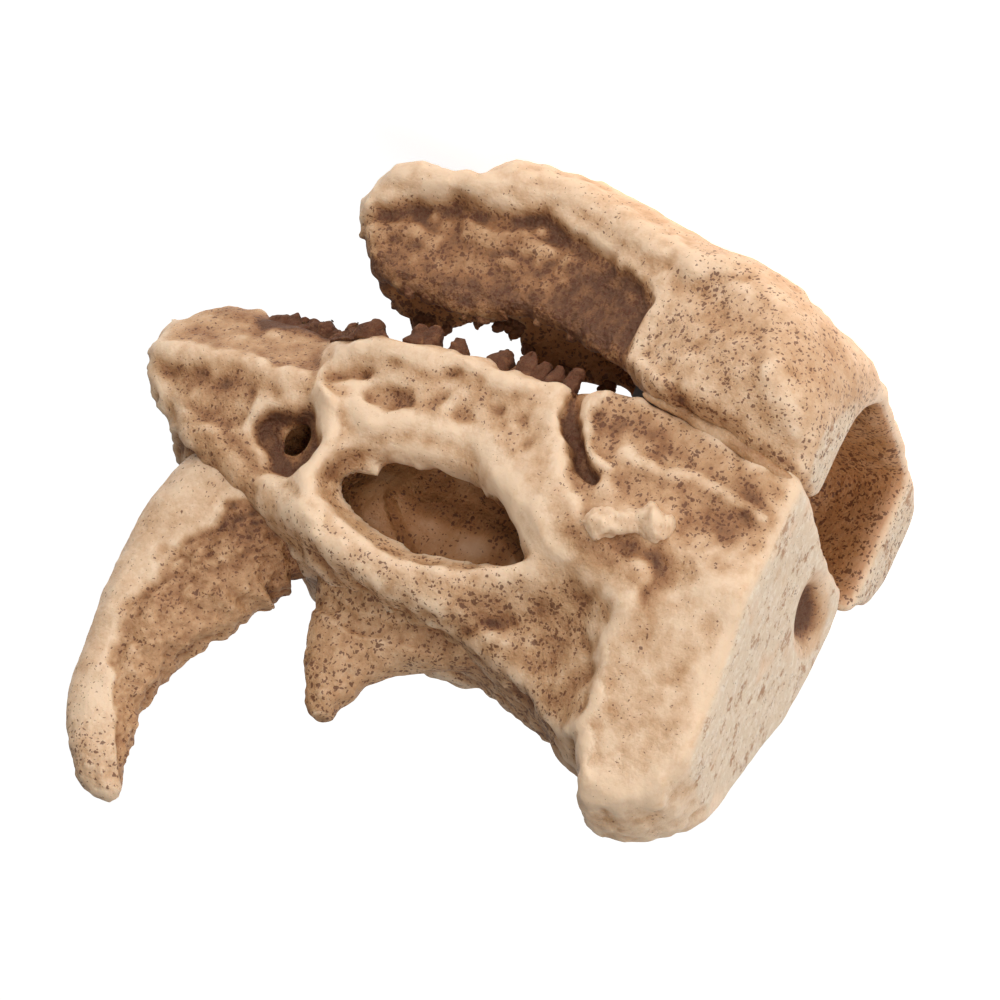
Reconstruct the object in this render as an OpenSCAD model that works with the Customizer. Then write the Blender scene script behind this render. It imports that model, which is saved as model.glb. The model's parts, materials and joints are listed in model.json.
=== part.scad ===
// Cast resin horned-skull ornament for an aquarium, with a removable air set in its throat.
// Millimetres. The castings are drawn in skull axes: X from the flat back towards the beak,
// Y to the animal's left, Z from the jaw seam towards the horns. posed() then pitches the
// whole skull nose-up until chin and heel stand on one level, and centres it over the origin.

/* [Skull] */
// Length from the flat back to the beak tip
skull_length = 91; // [76:1:110]
// Height of the skull casting, from the seam with the lower jaw up to the crest
skull_height = 44; // [37:1:53]
// Width across the cheeks
skull_width = 42; // [36:1:50]
// Wall of the hollow skull at its cheeks
skull_wall = 4.5; // [3.5:0.1:5.5]

/* [Horns] */
// Length of the nose horn, measured square to the snout roof's seat
horn_length = 46; // [38:1:55]
// Thickness of the nose horn at its seat
horn_thick = 13; // [10:0.5:15]
// Height of the short horn above its seat
short_horn_height = 17; // [12:0.5:20]
// Thickness of the short horn at its seat
short_horn_thick = 9; // [7:0.5:11]

/* [Lower jaw] */
// Depth of the lower jaw below the seam
jaw_depth = 36; // [30:1:43]
// Length of the lower jaw from the flat back
jaw_length = 72; // [60:1:80]
// Width across the flared back of the lower jaw
jaw_width = 60; // [54:1:66]
// Sideways lean of the lower jaw, which is bonded a little askew: offset of its back to the left
jaw_skew = 4; // [0:0.5:5]
// Wall of the lower jaw
jaw_wall = 4; // [3:0.1:5]
// Depth ground off chin and heel where the ornament stands
foot_flat = 0.5; // [0.3:0.1:0.8]

/* [Teeth] */
// Stumps in each row of the upper jaw
upper_teeth = 10; // [6:1:12]
// Stumps in each row of the lower jaw
lower_teeth = 7; // [5:1:9]
// Root radius of a stump
tooth_r = 1.7; // [1.3:0.1:1.9]
// Height that a stump stands out of its jaw
tooth_out = 2.8; // [2:0.1:3]

/* [Air set] */
// Bore through the saddle that holds the rubber grommet
saddle_bore = 12; // [10:0.1:14.4]
// Thickness of the saddle along the bore
saddle_thick = 4; // [3:0.5:6]
// Distance from the flat back to the saddle
saddle_x = 13; // [12:0.5:16]
// Diameter of the air stem in the grommet and the stone
stem_d = 5.2; // [5:0.1:6]
// Diameter of the stem's free end, which the airline stretches over
spigot_d = 4.6; // [4:0.1:4.8]
// Air passage through the stem
stem_bore = 2.4; // [1.5:0.1:2.8]
// Length of stem behind the grommet that takes the airline
airline_seat = 4; // [3:0.5:5]
// Diameter of the air stone
stone_d = 10; // [8:0.1:10.4]
// Length of the air stone
stone_length = 12; // [10:0.1:15]

/* [Hidden] */
$fn = 48;

bone = "burlywood";
brown = "saddlebrown";
big = 400;
bead_out = 0.9;
bead_half = 1.2;
seat_clear = 0.05;
lead_in = 1;
knob_fore_r = 2.4;
knob_rear_r = 2.8;
knob_neck_r = 1.8;
knob_mid_y = 20.6;
tooth_root = 1.5;
tooth_tip = 0.6;
upper_inset = 2.4;
lower_inset = 2.2;
lower_share = 0.8;
vent_x = 10;
vent_half = 8;
vent_z = 14;
stone_bevel = 1.5;
over = 1;

// Outlines are drawn at these nominal sizes and stretched to the driving ones
kx = skull_length / 91;
ky = skull_width / 42;
kz = skull_height / 44;
jx = jaw_length / 72;
jy = jaw_width / 60;
jz = jaw_depth / 36;
function sk(p) = [for (q = p) [q[0] * kx, q[1] * kz]];
function jw(p) = [for (q = p) [q[0] * jx, -q[1] * jz]];

// Seam between skull and lower jaw in side view, shared by both castings and the glue beads
seam = [[0, -2], [6, -3], [12, -5], [18, -6], [25, -7]];
roof_front = [80 * kx, 14 * kz];
roof_mid = [58 * kx, 24 * kz];
roof_back = [32 * kx, 29 * kz];
skull_under = sk([[44, -7], [56, -6], [66, -5], [80, -7], [88, -6], [91, -1]]);
skull_front = sk([[91, 2], [88, 7], [85, 10]]);
skull_top = sk([[23, 34], [14, 39], [11, 44], [2, 43.5], [0, 42]]);
skull_side = concat(seam, skull_under, skull_front, [roof_front, roof_mid, roof_back], skull_top);
// Half widths along X, and half widths along Z, as pairs of place and half width
skull_plan = [for (q = [[0, 19], [8, 20.5], [20, 21], [28, 18], [40, 15], [56, 13.5], [70, 11],
                        [82, 8], [89, 5], [91, 2.5]]) [q[0] * kx, q[1] * ky]];
skull_rear = [for (q = [[-8, 18], [-2, 20], [8, 21], [14, 18], [20, 15], [30, 11], [40, 7], [44, 5]])
              [q[0] * kz, q[1] * ky]];
hollow_side = sk([[14, 1], [30, -1.5], [56, -1], [80, -1], [84, 2], [78, 8], [58, 18], [32, 23],
                  [22, 27], [14, 28]]);

jaw_under = jw([[72, 23], [71, 27], [66, 31], [58, 31], [55, 33.5], [49, 36], [41, 36], [35, 35.2],
                [26, 33], [17, 31], [7, 28], [0, 26.5]]);
jaw_over = [for (q = [[27, -11.5], [34, -13.5], [46, -15], [51, -13], [62, -13.5], [67, -15],
                      [70, -18]]) [q[0] * jx, q[1]]];
jaw_side = concat(seam, jaw_over, jaw_under);
jaw_plan = [for (q = [[0, 30], [8, 29], [20, 23], [30, 18], [45, 13], [60, 10], [69, 7], [72, 4]])
            [q[0] * jx, q[1] * jy]];
jaw_rear = [for (q = [[-36, 9], [-30, 16], [-24, 25], [-20, 29], [-12, 30], [-5, 24], [-1, 21.5]])
            [q[0] * jz, q[1] * jy]];
// Middle of the jaw along X: to the left at its back, to the right at its tip
function jaw_mid(x) = jaw_skew * (1 - 2 * x / jaw_length);

// The air set hangs just below the seam, and the throat's floor leaves room under it
lip_d = saddle_bore + 2;
room = 0.4;
air_z = -6 - room - lip_d / 2;
floor_z = min(-22 * jz, air_z - lip_d / 2 - room);
throat_side = [[-5, floor_z], [12 * jx, floor_z], [25 * jx, min(-27 * jz, floor_z)],
               [45 * jx, -31 * jz], [60 * jx, -26 * jz], [65 * jx, -18 * jz], [65 * jx, 0], [-5, 0]];
saddle_half = saddle_bore / 2 + 3;
lip_thick = 1.5;
lip_back = saddle_x - seat_clear - lip_thick;
stem_back = lip_back - airline_seat;
stone_back = saddle_x + saddle_thick + 1;
stone_socket = 5;
stem_front = stone_back + stone_socket;

// Pose: chin and heel level, lowest point at Z = 0, middle of the length over the origin
chin = [45 * jx, -36 * jz];
heel = [0, -26.5 * jz];
pitch = atan2(heel[1] - chin[1], chin[0] - heel[0]);
function row_x(p) = p[0] * cos(pitch) - p[1] * sin(pitch);
function row_z(p) = p[0] * sin(pitch) + p[1] * cos(pitch);
rear_most = row_x([0, 42 * kz]);
rear_peak = row_x([2 * kx, 43.5 * kz]);
fore_most = row_x([91 * kx, -kz]);
shift_x = -(fore_most + min(rear_most, rear_peak)) / 2;
lift = -row_z(chin) - foot_flat;

module posed() {
    translate([shift_x, 0, lift])
        rotate([0, -pitch, 0])
            children();
}

// Side outline given as [x, z], drawn as a slab that is 2 * half wide along Y
module side_slab(outline, half = big) {
    rotate([90, 0, 0])
        linear_extrude(height = 2 * half, center = true)
            polygon(outline);
}

// Slab along Z whose half width along Y follows the pairs in plan, about the line mid(x)
module plan_slab(plan, grow = 0, skewed = false) {
    mid = [for (q = plan) skewed ? jaw_mid(q[0]) : 0];
    right = [for (i = [0:len(plan) - 1]) [plan[i][0], mid[i] - plan[i][1] - grow]];
    left = [for (i = [len(plan) - 1:-1:0]) [plan[i][0], mid[i] + plan[i][1] + grow]];
    linear_extrude(height = 2 * big, center = true)
        polygon(concat(right, left));
}

// Slab along X whose half width along Y follows the pairs in rear, about Y = mid
module rear_slab(rear, grow = 0, mid = 0) {
    right = [for (q = rear) [mid - q[1] - grow, q[0]]];
    left = [for (i = [len(rear) - 1:-1:0]) [mid + rear[i][1] + grow, rear[i][0]]];
    rotate([90, 0, 90])
        linear_extrude(height = 2 * big, center = true)
            polygon(concat(right, left));
}

module skull_outer() {
    intersection() {
        side_slab(skull_side);
        plan_slab(skull_plan);
        rear_slab(skull_rear);
    }
}

module jaw_outer() {
    intersection() {
        side_slab(jaw_side);
        plan_slab(jaw_plan, 0, true);
        rear_slab(jaw_rear, 0, jaw_skew * 0.7);
    }
}

// Eye sockets and nostrils, cut right through from side to side
module sockets() {
    side_slab(sk([[56, 15], [50, 9.5], [42, 8], [33, 12], [29, 17], [38, 21.5], [50, 20]]));
    side_slab(sk([[73, 8], [66, 5.5], [63, 13], [70, 14]]));
}

module skull_shell() {
    color(bone) posed() difference() {
        skull_outer();
        intersection() {
            side_slab(hollow_side);
            plan_slab(skull_plan, -skull_wall);
            rear_slab(skull_rear, -skull_wall);
        }
        sockets();
        // Opening from the throat up into the hollow skull
        translate([saddle_x + saddle_thick + 2, -vent_half * ky, -10 * kz])
            cube([vent_x, 2 * vent_half * ky, vent_z * kz]);
    }
}

// Cast wall inside the lower jaw with the bore for the grommet
module saddle() {
    difference() {
        intersection() {
            jaw_outer();
            translate([saddle_x, -saddle_half, -big])
                cube([saddle_thick, 2 * saddle_half, big]);
        }
        translate([saddle_x - over, 0, air_z])
            rotate([0, 90, 0])
                cylinder(d = saddle_bore, h = saddle_thick + 2 * over);
    }
}

module lower_jaw() {
    color(bone) difference() {
        posed() union() {
            difference() {
                jaw_outer();
                intersection() {
                    side_slab(throat_side);
                    plan_slab(jaw_plan, -jaw_wall, true);
                    rear_slab(jaw_rear, -jaw_wall, jaw_skew * 0.7);
                }
            }
            saddle();
        }
        // Chin and heel ground level
        translate([-big, -big, -2 * big])
            cube(2 * big);
    }
}

// Curved horn on the snout roof: side outline from its seat, thinned towards the tip
module nose_horn() {
    h = horn_length / 46;
    z0 = roof_front[1];
    outer = [[-1, 1], [2, 6], [3, 13], [3, 20], [2, 32], [1, 37], [-2, 42], [-5, 46]];
    inner = [[-10, 46], [-10, 41], [-9, 36], [-9, 31], [-10, 26], [-12, 21], [-16, 17], [-19, 13]];
    outline = concat([roof_front], [for (q = concat(outer, inner))
                     [roof_front[0] + q[0], z0 + q[1] * h]], [roof_mid]);
    taper = [[z0 - 2, horn_thick / 2], [z0 + 20 * h, horn_thick * 0.42], [z0 + 47 * h, horn_thick * 0.25]];
    color(bone) posed() intersection() {
        side_slab(outline);
        rear_slab(taper);
    }
}

// Short spike behind the nose horn, on the same roof
module short_horn() {
    h = short_horn_height / 17;
    slope = (roof_back[1] - roof_mid[1]) / (roof_mid[0] - roof_back[0]);
    x0 = roof_mid[0] - 1;
    z0 = roof_mid[1] + slope;
    seat_l = 21 * kx;
    outline = [[x0, z0], [x0 - 1, z0 + 9 * h], [x0 - 4, z0 + 14 * h], [x0 - 7, z0 + 17 * h],
               [x0 - 9, z0 + 13 * h], [x0 - 11, z0 + 10 * h], [x0 - 14, z0 + 7 * h],
               [x0 - seat_l, z0 + seat_l * slope]];
    taper = [[z0 - 2, short_horn_thick / 2], [z0 + 17 * h + 1, short_horn_thick * 0.2]];
    color(bone) posed() intersection() {
        side_slab(outline);
        rear_slab(taper);
    }
}

// Bead of bonding resin along the seam, outside the walls of both castings
module glue_bead(side) {
    band = concat([for (q = seam) [q[0], q[1] - bead_half]],
                  [for (i = [len(seam) - 1:-1:0]) [seam[i][0], seam[i][1] + bead_half]]);
    color("tan") posed() difference() {
        intersection() {
            side_slab(band);
            plan_slab(skull_plan, bead_out);
            rear_slab(skull_rear, bead_out);
            translate([1, side < 0 ? -big : 10, -big])
                cube([23, big - 10, 2 * big]);
        }
        skull_outer();
        jaw_outer();
    }
}

// Two-lobed knob of bone on the cheek, below and behind the eye socket
module cheek_knob(side) {
    y = side * knob_mid_y * ky;
    fore = [21 * kx, y, 12 * kz];
    rear = [14.5 * kx, y, 9.5 * kz];
    gap = fore - rear;
    color(bone) posed() difference() {
        union() {
            translate(fore) sphere(r = knob_fore_r);
            translate(rear) sphere(r = knob_rear_r);
            translate(rear)
                rotate([0, atan2(gap[0], gap[2]), 0])
                    cylinder(r = knob_neck_r, h = norm(gap));
        }
        skull_outer();
    }
}

// Stumps follow the edge of their jaw, set in from its side face by an inset
module upper_teeth(side) {
    first = 36 * kx;
    pitch_x = (80 * kx - first) / (upper_teeth - 1);
    color(brown) posed() difference() {
        for (i = [0:upper_teeth - 1]) {
            x = first + i * pitch_x;
            root = lookup(x, skull_under);
            translate([x, side * (lookup(x, skull_plan) - upper_inset), root - tooth_out])
                cylinder(r1 = tooth_r * tooth_tip, r2 = tooth_r, h = tooth_out + tooth_root);
        }
        skull_outer();
    }
}

module lower_teeth(side) {
    first = 34 * jx;
    pitch_x = (64 * jx - first) / (lower_teeth - 1);
    color(brown) posed() difference() {
        for (i = [0:lower_teeth - 1]) {
            x = first + i * pitch_x;
            root = lookup(x, jaw_over);
            translate([x, jaw_mid(x) + side * (lookup(x, jaw_plan) - lower_inset), root - tooth_root])
                cylinder(r1 = tooth_r, r2 = tooth_r * tooth_tip, h = tooth_out * lower_share + tooth_root);
        }
        jaw_outer();
    }
}

module along_air() {
    posed() translate([0, 0, air_z]) rotate([0, 90, 0]) children();
}

// Rubber grommet pressed into the saddle, with a lip on the back side
module grommet() {
    color("dimgray") along_air() difference() {
        union() {
            translate([0, 0, lip_back]) cylinder(d = lip_d, h = lip_thick);
            translate([0, 0, lip_back])
                cylinder(d = saddle_bore - 2 * seat_clear, h = lip_thick + seat_clear + saddle_thick);
        }
        translate([0, 0, lip_back - over])
            cylinder(d = stem_d, h = lip_thick + seat_clear + saddle_thick + 2 * over);
    }
}

// Hollow stem: plain spigot with a lead-in for the airline at the back, stone seat at the front
module air_stem() {
    color("whitesmoke") along_air() difference() {
        union() {
            translate([0, 0, lip_back]) cylinder(d = stem_d, h = stem_front - lip_back);
            translate([0, 0, stem_back]) cylinder(d = spigot_d, h = airline_seat);
            translate([0, 0, stem_back - lead_in]) cylinder(d1 = spigot_d - 1, d2 = spigot_d, h = lead_in);
        }
        translate([0, 0, stem_back - lead_in - over])
            cylinder(d = stem_bore, h = stem_front - stem_back + lead_in + 2 * over);
    }
}

// Porous stone pushed over the front end of the stem
module air_stone() {
    color("slategray") along_air() difference() {
        translate([0, 0, stone_back]) union() {
            cylinder(d = stone_d, h = stone_length - stone_bevel);
            translate([0, 0, stone_length - stone_bevel])
                cylinder(d1 = stone_d, d2 = stone_d - 2 * stone_bevel, h = stone_bevel);
        }
        translate([0, 0, stone_back - over]) cylinder(d = stem_d, h = stone_socket + over);
    }
}

skull_shell();
lower_jaw();
nose_horn();
short_horn();
glue_bead(-1);  // glue_bead_right
glue_bead(1);  // glue_bead_left
cheek_knob(-1);  // cheek_knob_right
cheek_knob(1);  // cheek_knob_left
upper_teeth(-1);  // upper_teeth_right
upper_teeth(1);  // upper_teeth_left
lower_teeth(-1);  // lower_teeth_right
lower_teeth(1);  // lower_teeth_left
grommet();
air_stem();
air_stone();
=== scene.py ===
import bpy
import json
import math
import numpy as np
import openvdb
from mathutils import Matrix, Vector


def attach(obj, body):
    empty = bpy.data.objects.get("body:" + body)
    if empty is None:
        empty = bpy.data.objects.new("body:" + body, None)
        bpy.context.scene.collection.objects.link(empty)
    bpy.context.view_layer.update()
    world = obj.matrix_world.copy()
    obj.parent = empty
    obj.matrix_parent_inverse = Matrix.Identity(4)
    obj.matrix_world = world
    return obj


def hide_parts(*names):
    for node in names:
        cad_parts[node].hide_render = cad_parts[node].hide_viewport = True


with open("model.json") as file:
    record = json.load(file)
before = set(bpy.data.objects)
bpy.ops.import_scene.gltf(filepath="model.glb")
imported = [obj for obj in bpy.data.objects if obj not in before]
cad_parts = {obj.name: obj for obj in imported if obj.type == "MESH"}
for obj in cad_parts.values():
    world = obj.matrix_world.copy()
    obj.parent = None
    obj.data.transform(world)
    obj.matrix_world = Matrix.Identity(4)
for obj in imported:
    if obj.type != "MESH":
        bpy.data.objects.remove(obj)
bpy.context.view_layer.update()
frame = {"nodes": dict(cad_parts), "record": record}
print("frame loaded:", len(frame["nodes"]), "nodes")

# The castings are shaped in skull axes, in mm: x from the flat back to the beak, y to the
# animal's left, z from the jaw seam up to the horns. The back mount says how the skull is pitched.

backMount = [m for m in frame["record"]["mounts"] if m["name"] == "back_flat"][0]
skullX = -np.array(backMount["axis"])
skullZ = np.array([-skullX[2], 0.0, skullX[0]])
rowY = np.array([0.0, 1.0, 0.0])
mountHeight = 20.0  # the back mount lies this far above the seam
airHeight = -13.4  # the air set's axis lies this far from the seam
skullOrigin = np.array(backMount["pos_m"]) - skullZ * mountHeight * 0.001
latticeSize = 32
lattice = np.random.RandomState(11).uniform(-1, 1, (latticeSize,) * 3).astype(np.float32)


def toRow(points):
    # row point = origin + x * skullX + y * Y + z * skullZ, in metres
    return skullOrigin + (points * 0.001) @ np.stack([skullX, rowY, skullZ])


def softStep(low, high, value):
    # 0 up to low, 1 from high, a smooth cubic between
    t = np.clip((value - low) / (high - low), 0.0, 1.0)
    return t * t * (3.0 - 2.0 * t)


def roundMax(a, b, r):
    # the larger of two distances, with the corner between them rounded by about r
    h = np.clip(0.5 + 0.5 * (a - b) / r, 0.0, 1.0)
    return b * (1 - h) + a * h + r * h * (1 - h)


def grain(x, y, z, size, shift=0.0):
    # random numbers on a cubic lattice of this size, blended smoothly from corner to corner
    cells = []
    parts = []
    for k, value in enumerate((x, y, z)):
        s = np.asarray(value, dtype=np.float32) / size + shift * (k + 1) * 1.37 + 64.0
        cell = np.floor(s).astype(np.int32)
        part = s - cell
        cells.append(cell)
        parts.append(part * part * (3.0 - 2.0 * part))
    total = 0.0
    for corner in range(8):
        weight = 1.0
        index = []
        for k in range(3):
            step = (corner >> k) & 1
            weight = weight * (parts[k] if step else 1.0 - parts[k])
            index.append((cells[k] + step) % latticeSize)
        total = total + weight * lattice[index[0], index[1], index[2]]
    return total


def lumps(x, y, z, size, octaves, shift=0.0):
    # grain summed over octaves, each half the size and half the height of the one before
    total = 0.0
    for k in range(octaves):
        total = total + grain(x, y, z, size / 2 ** k, shift + k * 3.1) / 2 ** k
    return total


def smoothLine(points, perSide=6, loop=False):
    # Catmull-Rom curve through the points: a cubic between each two, led by their neighbours
    p = np.array(points, float)
    if loop:
        p = np.concatenate([p[-1:], p, p[:2]])
    else:
        p = np.concatenate([2 * p[:1] - p[1:2], p, 2 * p[-1:] - p[-2:-1]])
    t = np.linspace(0, 1, perSide, endpoint=False)[None, :, None]
    a, b, c, d = (p[k:len(p) - 3 + k, None, :] for k in range(4))
    curve = 0.5 * (2 * b + (c - a) * t + (2 * a - 5 * b + 4 * c - d) * t ** 2
                   + (3 * b - a - 3 * c + d) * t ** 3)
    curve = curve.reshape(-1, p.shape[1])
    return curve if loop else np.concatenate([curve, p[-2:-1]])


def lineDistance(px, pz, path, closed=False):
    # distance to the nearest stretch of a path; negative inside a closed one
    pts = np.array(path, float)
    ends = np.roll(pts, -1, axis=0)
    if not closed:
        pts = pts[:-1]
        ends = ends[:-1]
    best = np.full(np.broadcast(px, pz).shape, 1e9)
    inside = np.zeros(best.shape, bool)
    for (ax, az), (bx, bz) in zip(pts, ends):
        ex = bx - ax
        ez = bz - az if abs(bz - az) > 1e-9 else 1e-9
        t = np.clip(((px - ax) * ex + (pz - az) * ez) / (ex * ex + ez * ez), 0, 1)
        best = np.minimum(best, (px - ax - t * ex) ** 2 + (pz - az - t * ez) ** 2)
        inside ^= ((az > pz) != (bz > pz)) & (px < ex * (pz - az) / ez + ax)
    sign = np.where(inside, -1.0, 1.0) if closed else 1.0
    return sign * np.sqrt(best)


def loopDistance(px, pz, outline, perSide=4):
    # distance to a closed outline drawn as a smooth curve, negative inside it
    return lineDistance(px, pz, smoothLine(outline, perSide, True), closed=True)


def areaMask(px, pz, outline, soft):
    # 1 well inside the outline, 0 outside, crossing over its edge within soft
    return softStep(soft * 0.5, -soft * 0.5, lineDistance(px, pz, outline, closed=True))


def ridgeMask(px, pz, path, radius):
    # 1 over the middle of the path, falling to 0 at radius
    return softStep(radius, radius * 0.35, lineDistance(px, pz, path))


def warped(px, pz, amount, shift):
    # the same place moved by noise of about 4 mm and 1.6 mm
    px, pz = np.broadcast_arrays(px, pz)
    wx = px + amount * (grain(px, 0, pz, 4.2, shift) + 0.5 * grain(px, 0, pz, 1.6, shift + 1))
    wz = pz + amount * (grain(px, 0, pz, 4.2, shift + 2) + 0.5 * grain(px, 0, pz, 1.6, shift + 3))
    return wx, wz


def reliefOf(px, pz, marks):
    # sum of raised and sunk marks in side view: areas, ridges along a path, and round spots
    total = np.zeros(np.broadcast(px, pz).shape)
    for kind, amount, reach, points in marks:
        if kind == "area":
            total = total + amount * areaMask(px, pz, smoothLine(points, 4, True), reach)
        elif kind == "ridge":
            total = total + amount * ridgeMask(px, pz, smoothLine(points, 4), reach)
        else:
            for x, z in points:
                total = total + amount * softStep(reach, 0.0, np.hypot(px - x, pz - z))
    return total


def asMesh(name, verts, faces, body, nodes, attributes, material):
    # verts in skull mm, faces as one array of quads and one of triangles
    mesh = bpy.data.meshes.new(name)
    quads, tris = faces
    loops = np.concatenate([quads.ravel(), tris.ravel()]).astype(np.int32)
    starts = np.concatenate([np.arange(len(quads)) * 4, len(quads) * 4 + np.arange(len(tris)) * 3])
    mesh.vertices.add(len(verts))
    mesh.vertices.foreach_set("co", toRow(verts).astype(np.float32).ravel())
    mesh.loops.add(len(loops))
    mesh.loops.foreach_set("vertex_index", loops)
    mesh.polygons.add(len(starts))
    mesh.polygons.foreach_set("loop_start", starts.astype(np.int32))
    mesh.update(calc_edges=True)
    mesh.validate()
    mesh.shade_smooth()
    for key, values in attributes.items():
        layer = mesh.attributes.new(key, "FLOAT", "POINT")
        layer.data.foreach_set("value", np.clip(values, 0, 1).astype(np.float32))
    piece = bpy.data.objects.new(name, mesh)
    bpy.context.scene.collection.objects.link(piece)
    mesh.materials.append(material)
    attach(piece, body)
    if nodes:
        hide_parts(*nodes)
    print("  made", name, len(verts), "points")
    return piece


def edgesOf(quads, tris):
    pairs = [np.stack([f[:, k], f[:, (k + 1) % f.shape[1]]], 1) for f in (quads, tris) if len(f)
             for k in range(f.shape[1])]
    pairs = np.sort(np.concatenate(pairs), axis=1)
    return np.unique(pairs, axis=0)


def relaxed(values, edges, rounds, share=0.6):
    # each point moves part of the way to the mean of its neighbours, again and again
    count = len(values)
    degree = np.bincount(edges.ravel(), minlength=count)[:, None]
    out = values.copy()
    for _ in range(rounds):
        total = np.zeros_like(out)
        for k in range(out.shape[1]):
            total[:, k] = (np.bincount(edges[:, 0], out[edges[:, 1], k], count)
                           + np.bincount(edges[:, 1], out[edges[:, 0], k], count))
        out = out + share * (total / np.maximum(degree, 1) - out)
    return out


def biggestPart(count, edges):
    # every point takes the lowest label among its neighbours until none changes
    label = np.arange(count)
    while True:
        low = np.minimum(label[edges[:, 0]], label[edges[:, 1]])
        fresh = label.copy()
        np.minimum.at(fresh, edges[:, 0], low)
        np.minimum.at(fresh, edges[:, 1], low)
        fresh = fresh[fresh]
        if (fresh == label).all():
            return label == np.bincount(label).argmax()
        label = fresh


def pointNormals(verts, quads, tris):
    # area-weighted mean of the normals of the faces round each point
    total = np.zeros_like(verts)
    for faces in (quads, tris):
        if len(faces):
            corner = verts[faces]
            last = 3 if faces.shape[1] == 4 else 2
            normal = np.cross(corner[:, 2] - corner[:, 0], corner[:, last] - corner[:, 1])
            for k in range(faces.shape[1]):
                for axis in range(3):
                    total[:, axis] += np.bincount(faces[:, k], normal[:, axis], len(verts))
    return total / np.maximum(np.linalg.norm(total, axis=1, keepdims=True), 1e-12)


def surfaceOf(field, low, step):
    # the surface where the field of distances is zero, as points in mm, quads and triangles
    volume = openvdb.FloatGrid(3.0)
    volume.copyFromArray(np.ascontiguousarray(field, dtype=np.float32))
    points, tris, quads = volume.convertToPolygons(isovalue=0.0, adaptivity=0.0)
    verts = points.astype(float) * step + np.array(low)
    quads = quads.astype(np.int64).reshape(-1, 4)
    tris = tris.astype(np.int64).reshape(-1, 3)
    keep = biggestPart(len(verts), edgesOf(quads, tris))
    order = np.cumsum(keep) - 1
    quads = order[quads[keep[quads].all(axis=1)]] if len(quads) else quads
    tris = order[tris[keep[tris].all(axis=1)]] if len(tris) else tris
    verts = verts[keep]
    return verts, quads, tris


def fieldAt(field, verts, low, step):
    # the field's value in the grid cell nearest to each point
    index = np.rint((verts - np.array(low)) / step).astype(int)
    index = np.clip(index, 0, np.array(field.shape) - 1)
    return field[index[:, 0], index[:, 1], index[:, 2]]


def hollowness(verts, quads, tris, edges, rounds):
    # how far the smoothed surface lies outside the real one,
    # positive in hollows and negative on ridges
    normals = pointNormals(verts, quads, tris)
    return ((relaxed(verts, edges, rounds) - verts) * normals).sum(axis=1)


def turnedOut(verts, quads, tris):
    # faces wound the other way round if the volume they close comes out negative
    corner = verts[quads] - verts.mean(axis=0)
    first = np.einsum("ij,ij->i", corner[:, 0], np.cross(corner[:, 1], corner[:, 2])).sum()
    second = np.einsum("ij,ij->i", corner[:, 0], np.cross(corner[:, 2], corner[:, 3])).sum()
    if first + second < 0:
        return quads[:, ::-1], tris[:, ::-1]
    return quads, tris


def sweep(rings):
    # rings[u, v] are points round a profile carried along a path; the ends close in a pole
    nu, nv = rings.shape[:2]
    verts = np.concatenate([rings.reshape(-1, 3), [rings[0].mean(axis=0), rings[-1].mean(axis=0)]])
    u, v = np.meshgrid(np.arange(nu - 1), np.arange(nv), indexing="ij")
    nextV = (v + 1) % nv
    quads = np.stack([u * nv + v, u * nv + nextV, (u + 1) * nv + nextV, (u + 1) * nv + v], -1)
    ring = np.arange(nv)
    after = (ring + 1) % nv
    start = np.stack([np.full(nv, nu * nv), after, ring], 1)
    stop = np.stack([np.full(nv, nu * nv + 1), (nu - 1) * nv + ring, (nu - 1) * nv + after], 1)
    quads, tris = turnedOut(verts, quads.reshape(-1, 4), np.concatenate([start, stop]))
    return verts, quads, tris


def tone(r, g, b):
    # a screen colour of 0 to 255 as linear light
    values = [c / 255 for c in (r, g, b)]
    return [c / 12.92 if c <= 0.04045 else ((c + 0.055) / 1.055) ** 2.4 for c in values] + [1.0]


boneTones = {
    "highlight": tone(224, 194, 162),
    "cream": tone(209, 173, 138),
    "tan": tone(186, 143, 102),
    "brown": tone(150, 102, 62),
    "dark": tone(100, 62, 36),
    # amber is painted glow: light shining through the resin in the hollows
    "amberGlow": tone(186, 122, 66),
    "speck": tone(92, 46, 16),
    "ground": tone(212, 190, 164),
    "scratch": tone(236, 226, 210),
}


class Board:
    # short hands for placing nodes in a material or a group
    def __init__(self, tree):
        self.tree = tree

    def node(self, kind, **values):
        made = self.tree.nodes.new(kind)
        for key, value in values.items():
            setattr(made, key, value)
        return made

    def link(self, source, target):
        self.tree.links.new(source, target)

    def math(self, operation, a, b=None, clamp=False):
        made = self.node("ShaderNodeMath", operation=operation, use_clamp=clamp)
        for k, value in enumerate((a, b)):
            if value is None:
                continue
            if isinstance(value, (int, float)):
                made.inputs[k].default_value = value
            else:
                self.link(value, made.inputs[k])
        return made.outputs[0]

    def noise(self, vector, scale, detail=3.0, roughness=0.55):
        made = self.node("ShaderNodeTexNoise")
        self.link(vector, made.inputs["Vector"])
        made.inputs["Scale"].default_value = scale
        made.inputs["Detail"].default_value = detail
        made.inputs["Roughness"].default_value = roughness
        return made.outputs["Fac"]

    def cells(self, vector, scale):
        # distance to the nearest scattered point, and a random number of that point's own
        made = self.node("ShaderNodeTexVoronoi", feature="F1")
        self.link(vector, made.inputs["Vector"])
        made.inputs["Scale"].default_value = scale
        parts = self.node("ShaderNodeSeparateColor")
        self.link(made.outputs["Color"], parts.inputs[0])
        return made.outputs["Distance"], parts.outputs[0]

    def between(self, value, low, high):
        made = self.node("ShaderNodeMapRange", interpolation_type="SMOOTHSTEP")
        self.link(value, made.inputs["Value"])
        made.inputs["From Min"].default_value = low
        made.inputs["From Max"].default_value = high
        return made.outputs["Result"]


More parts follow.
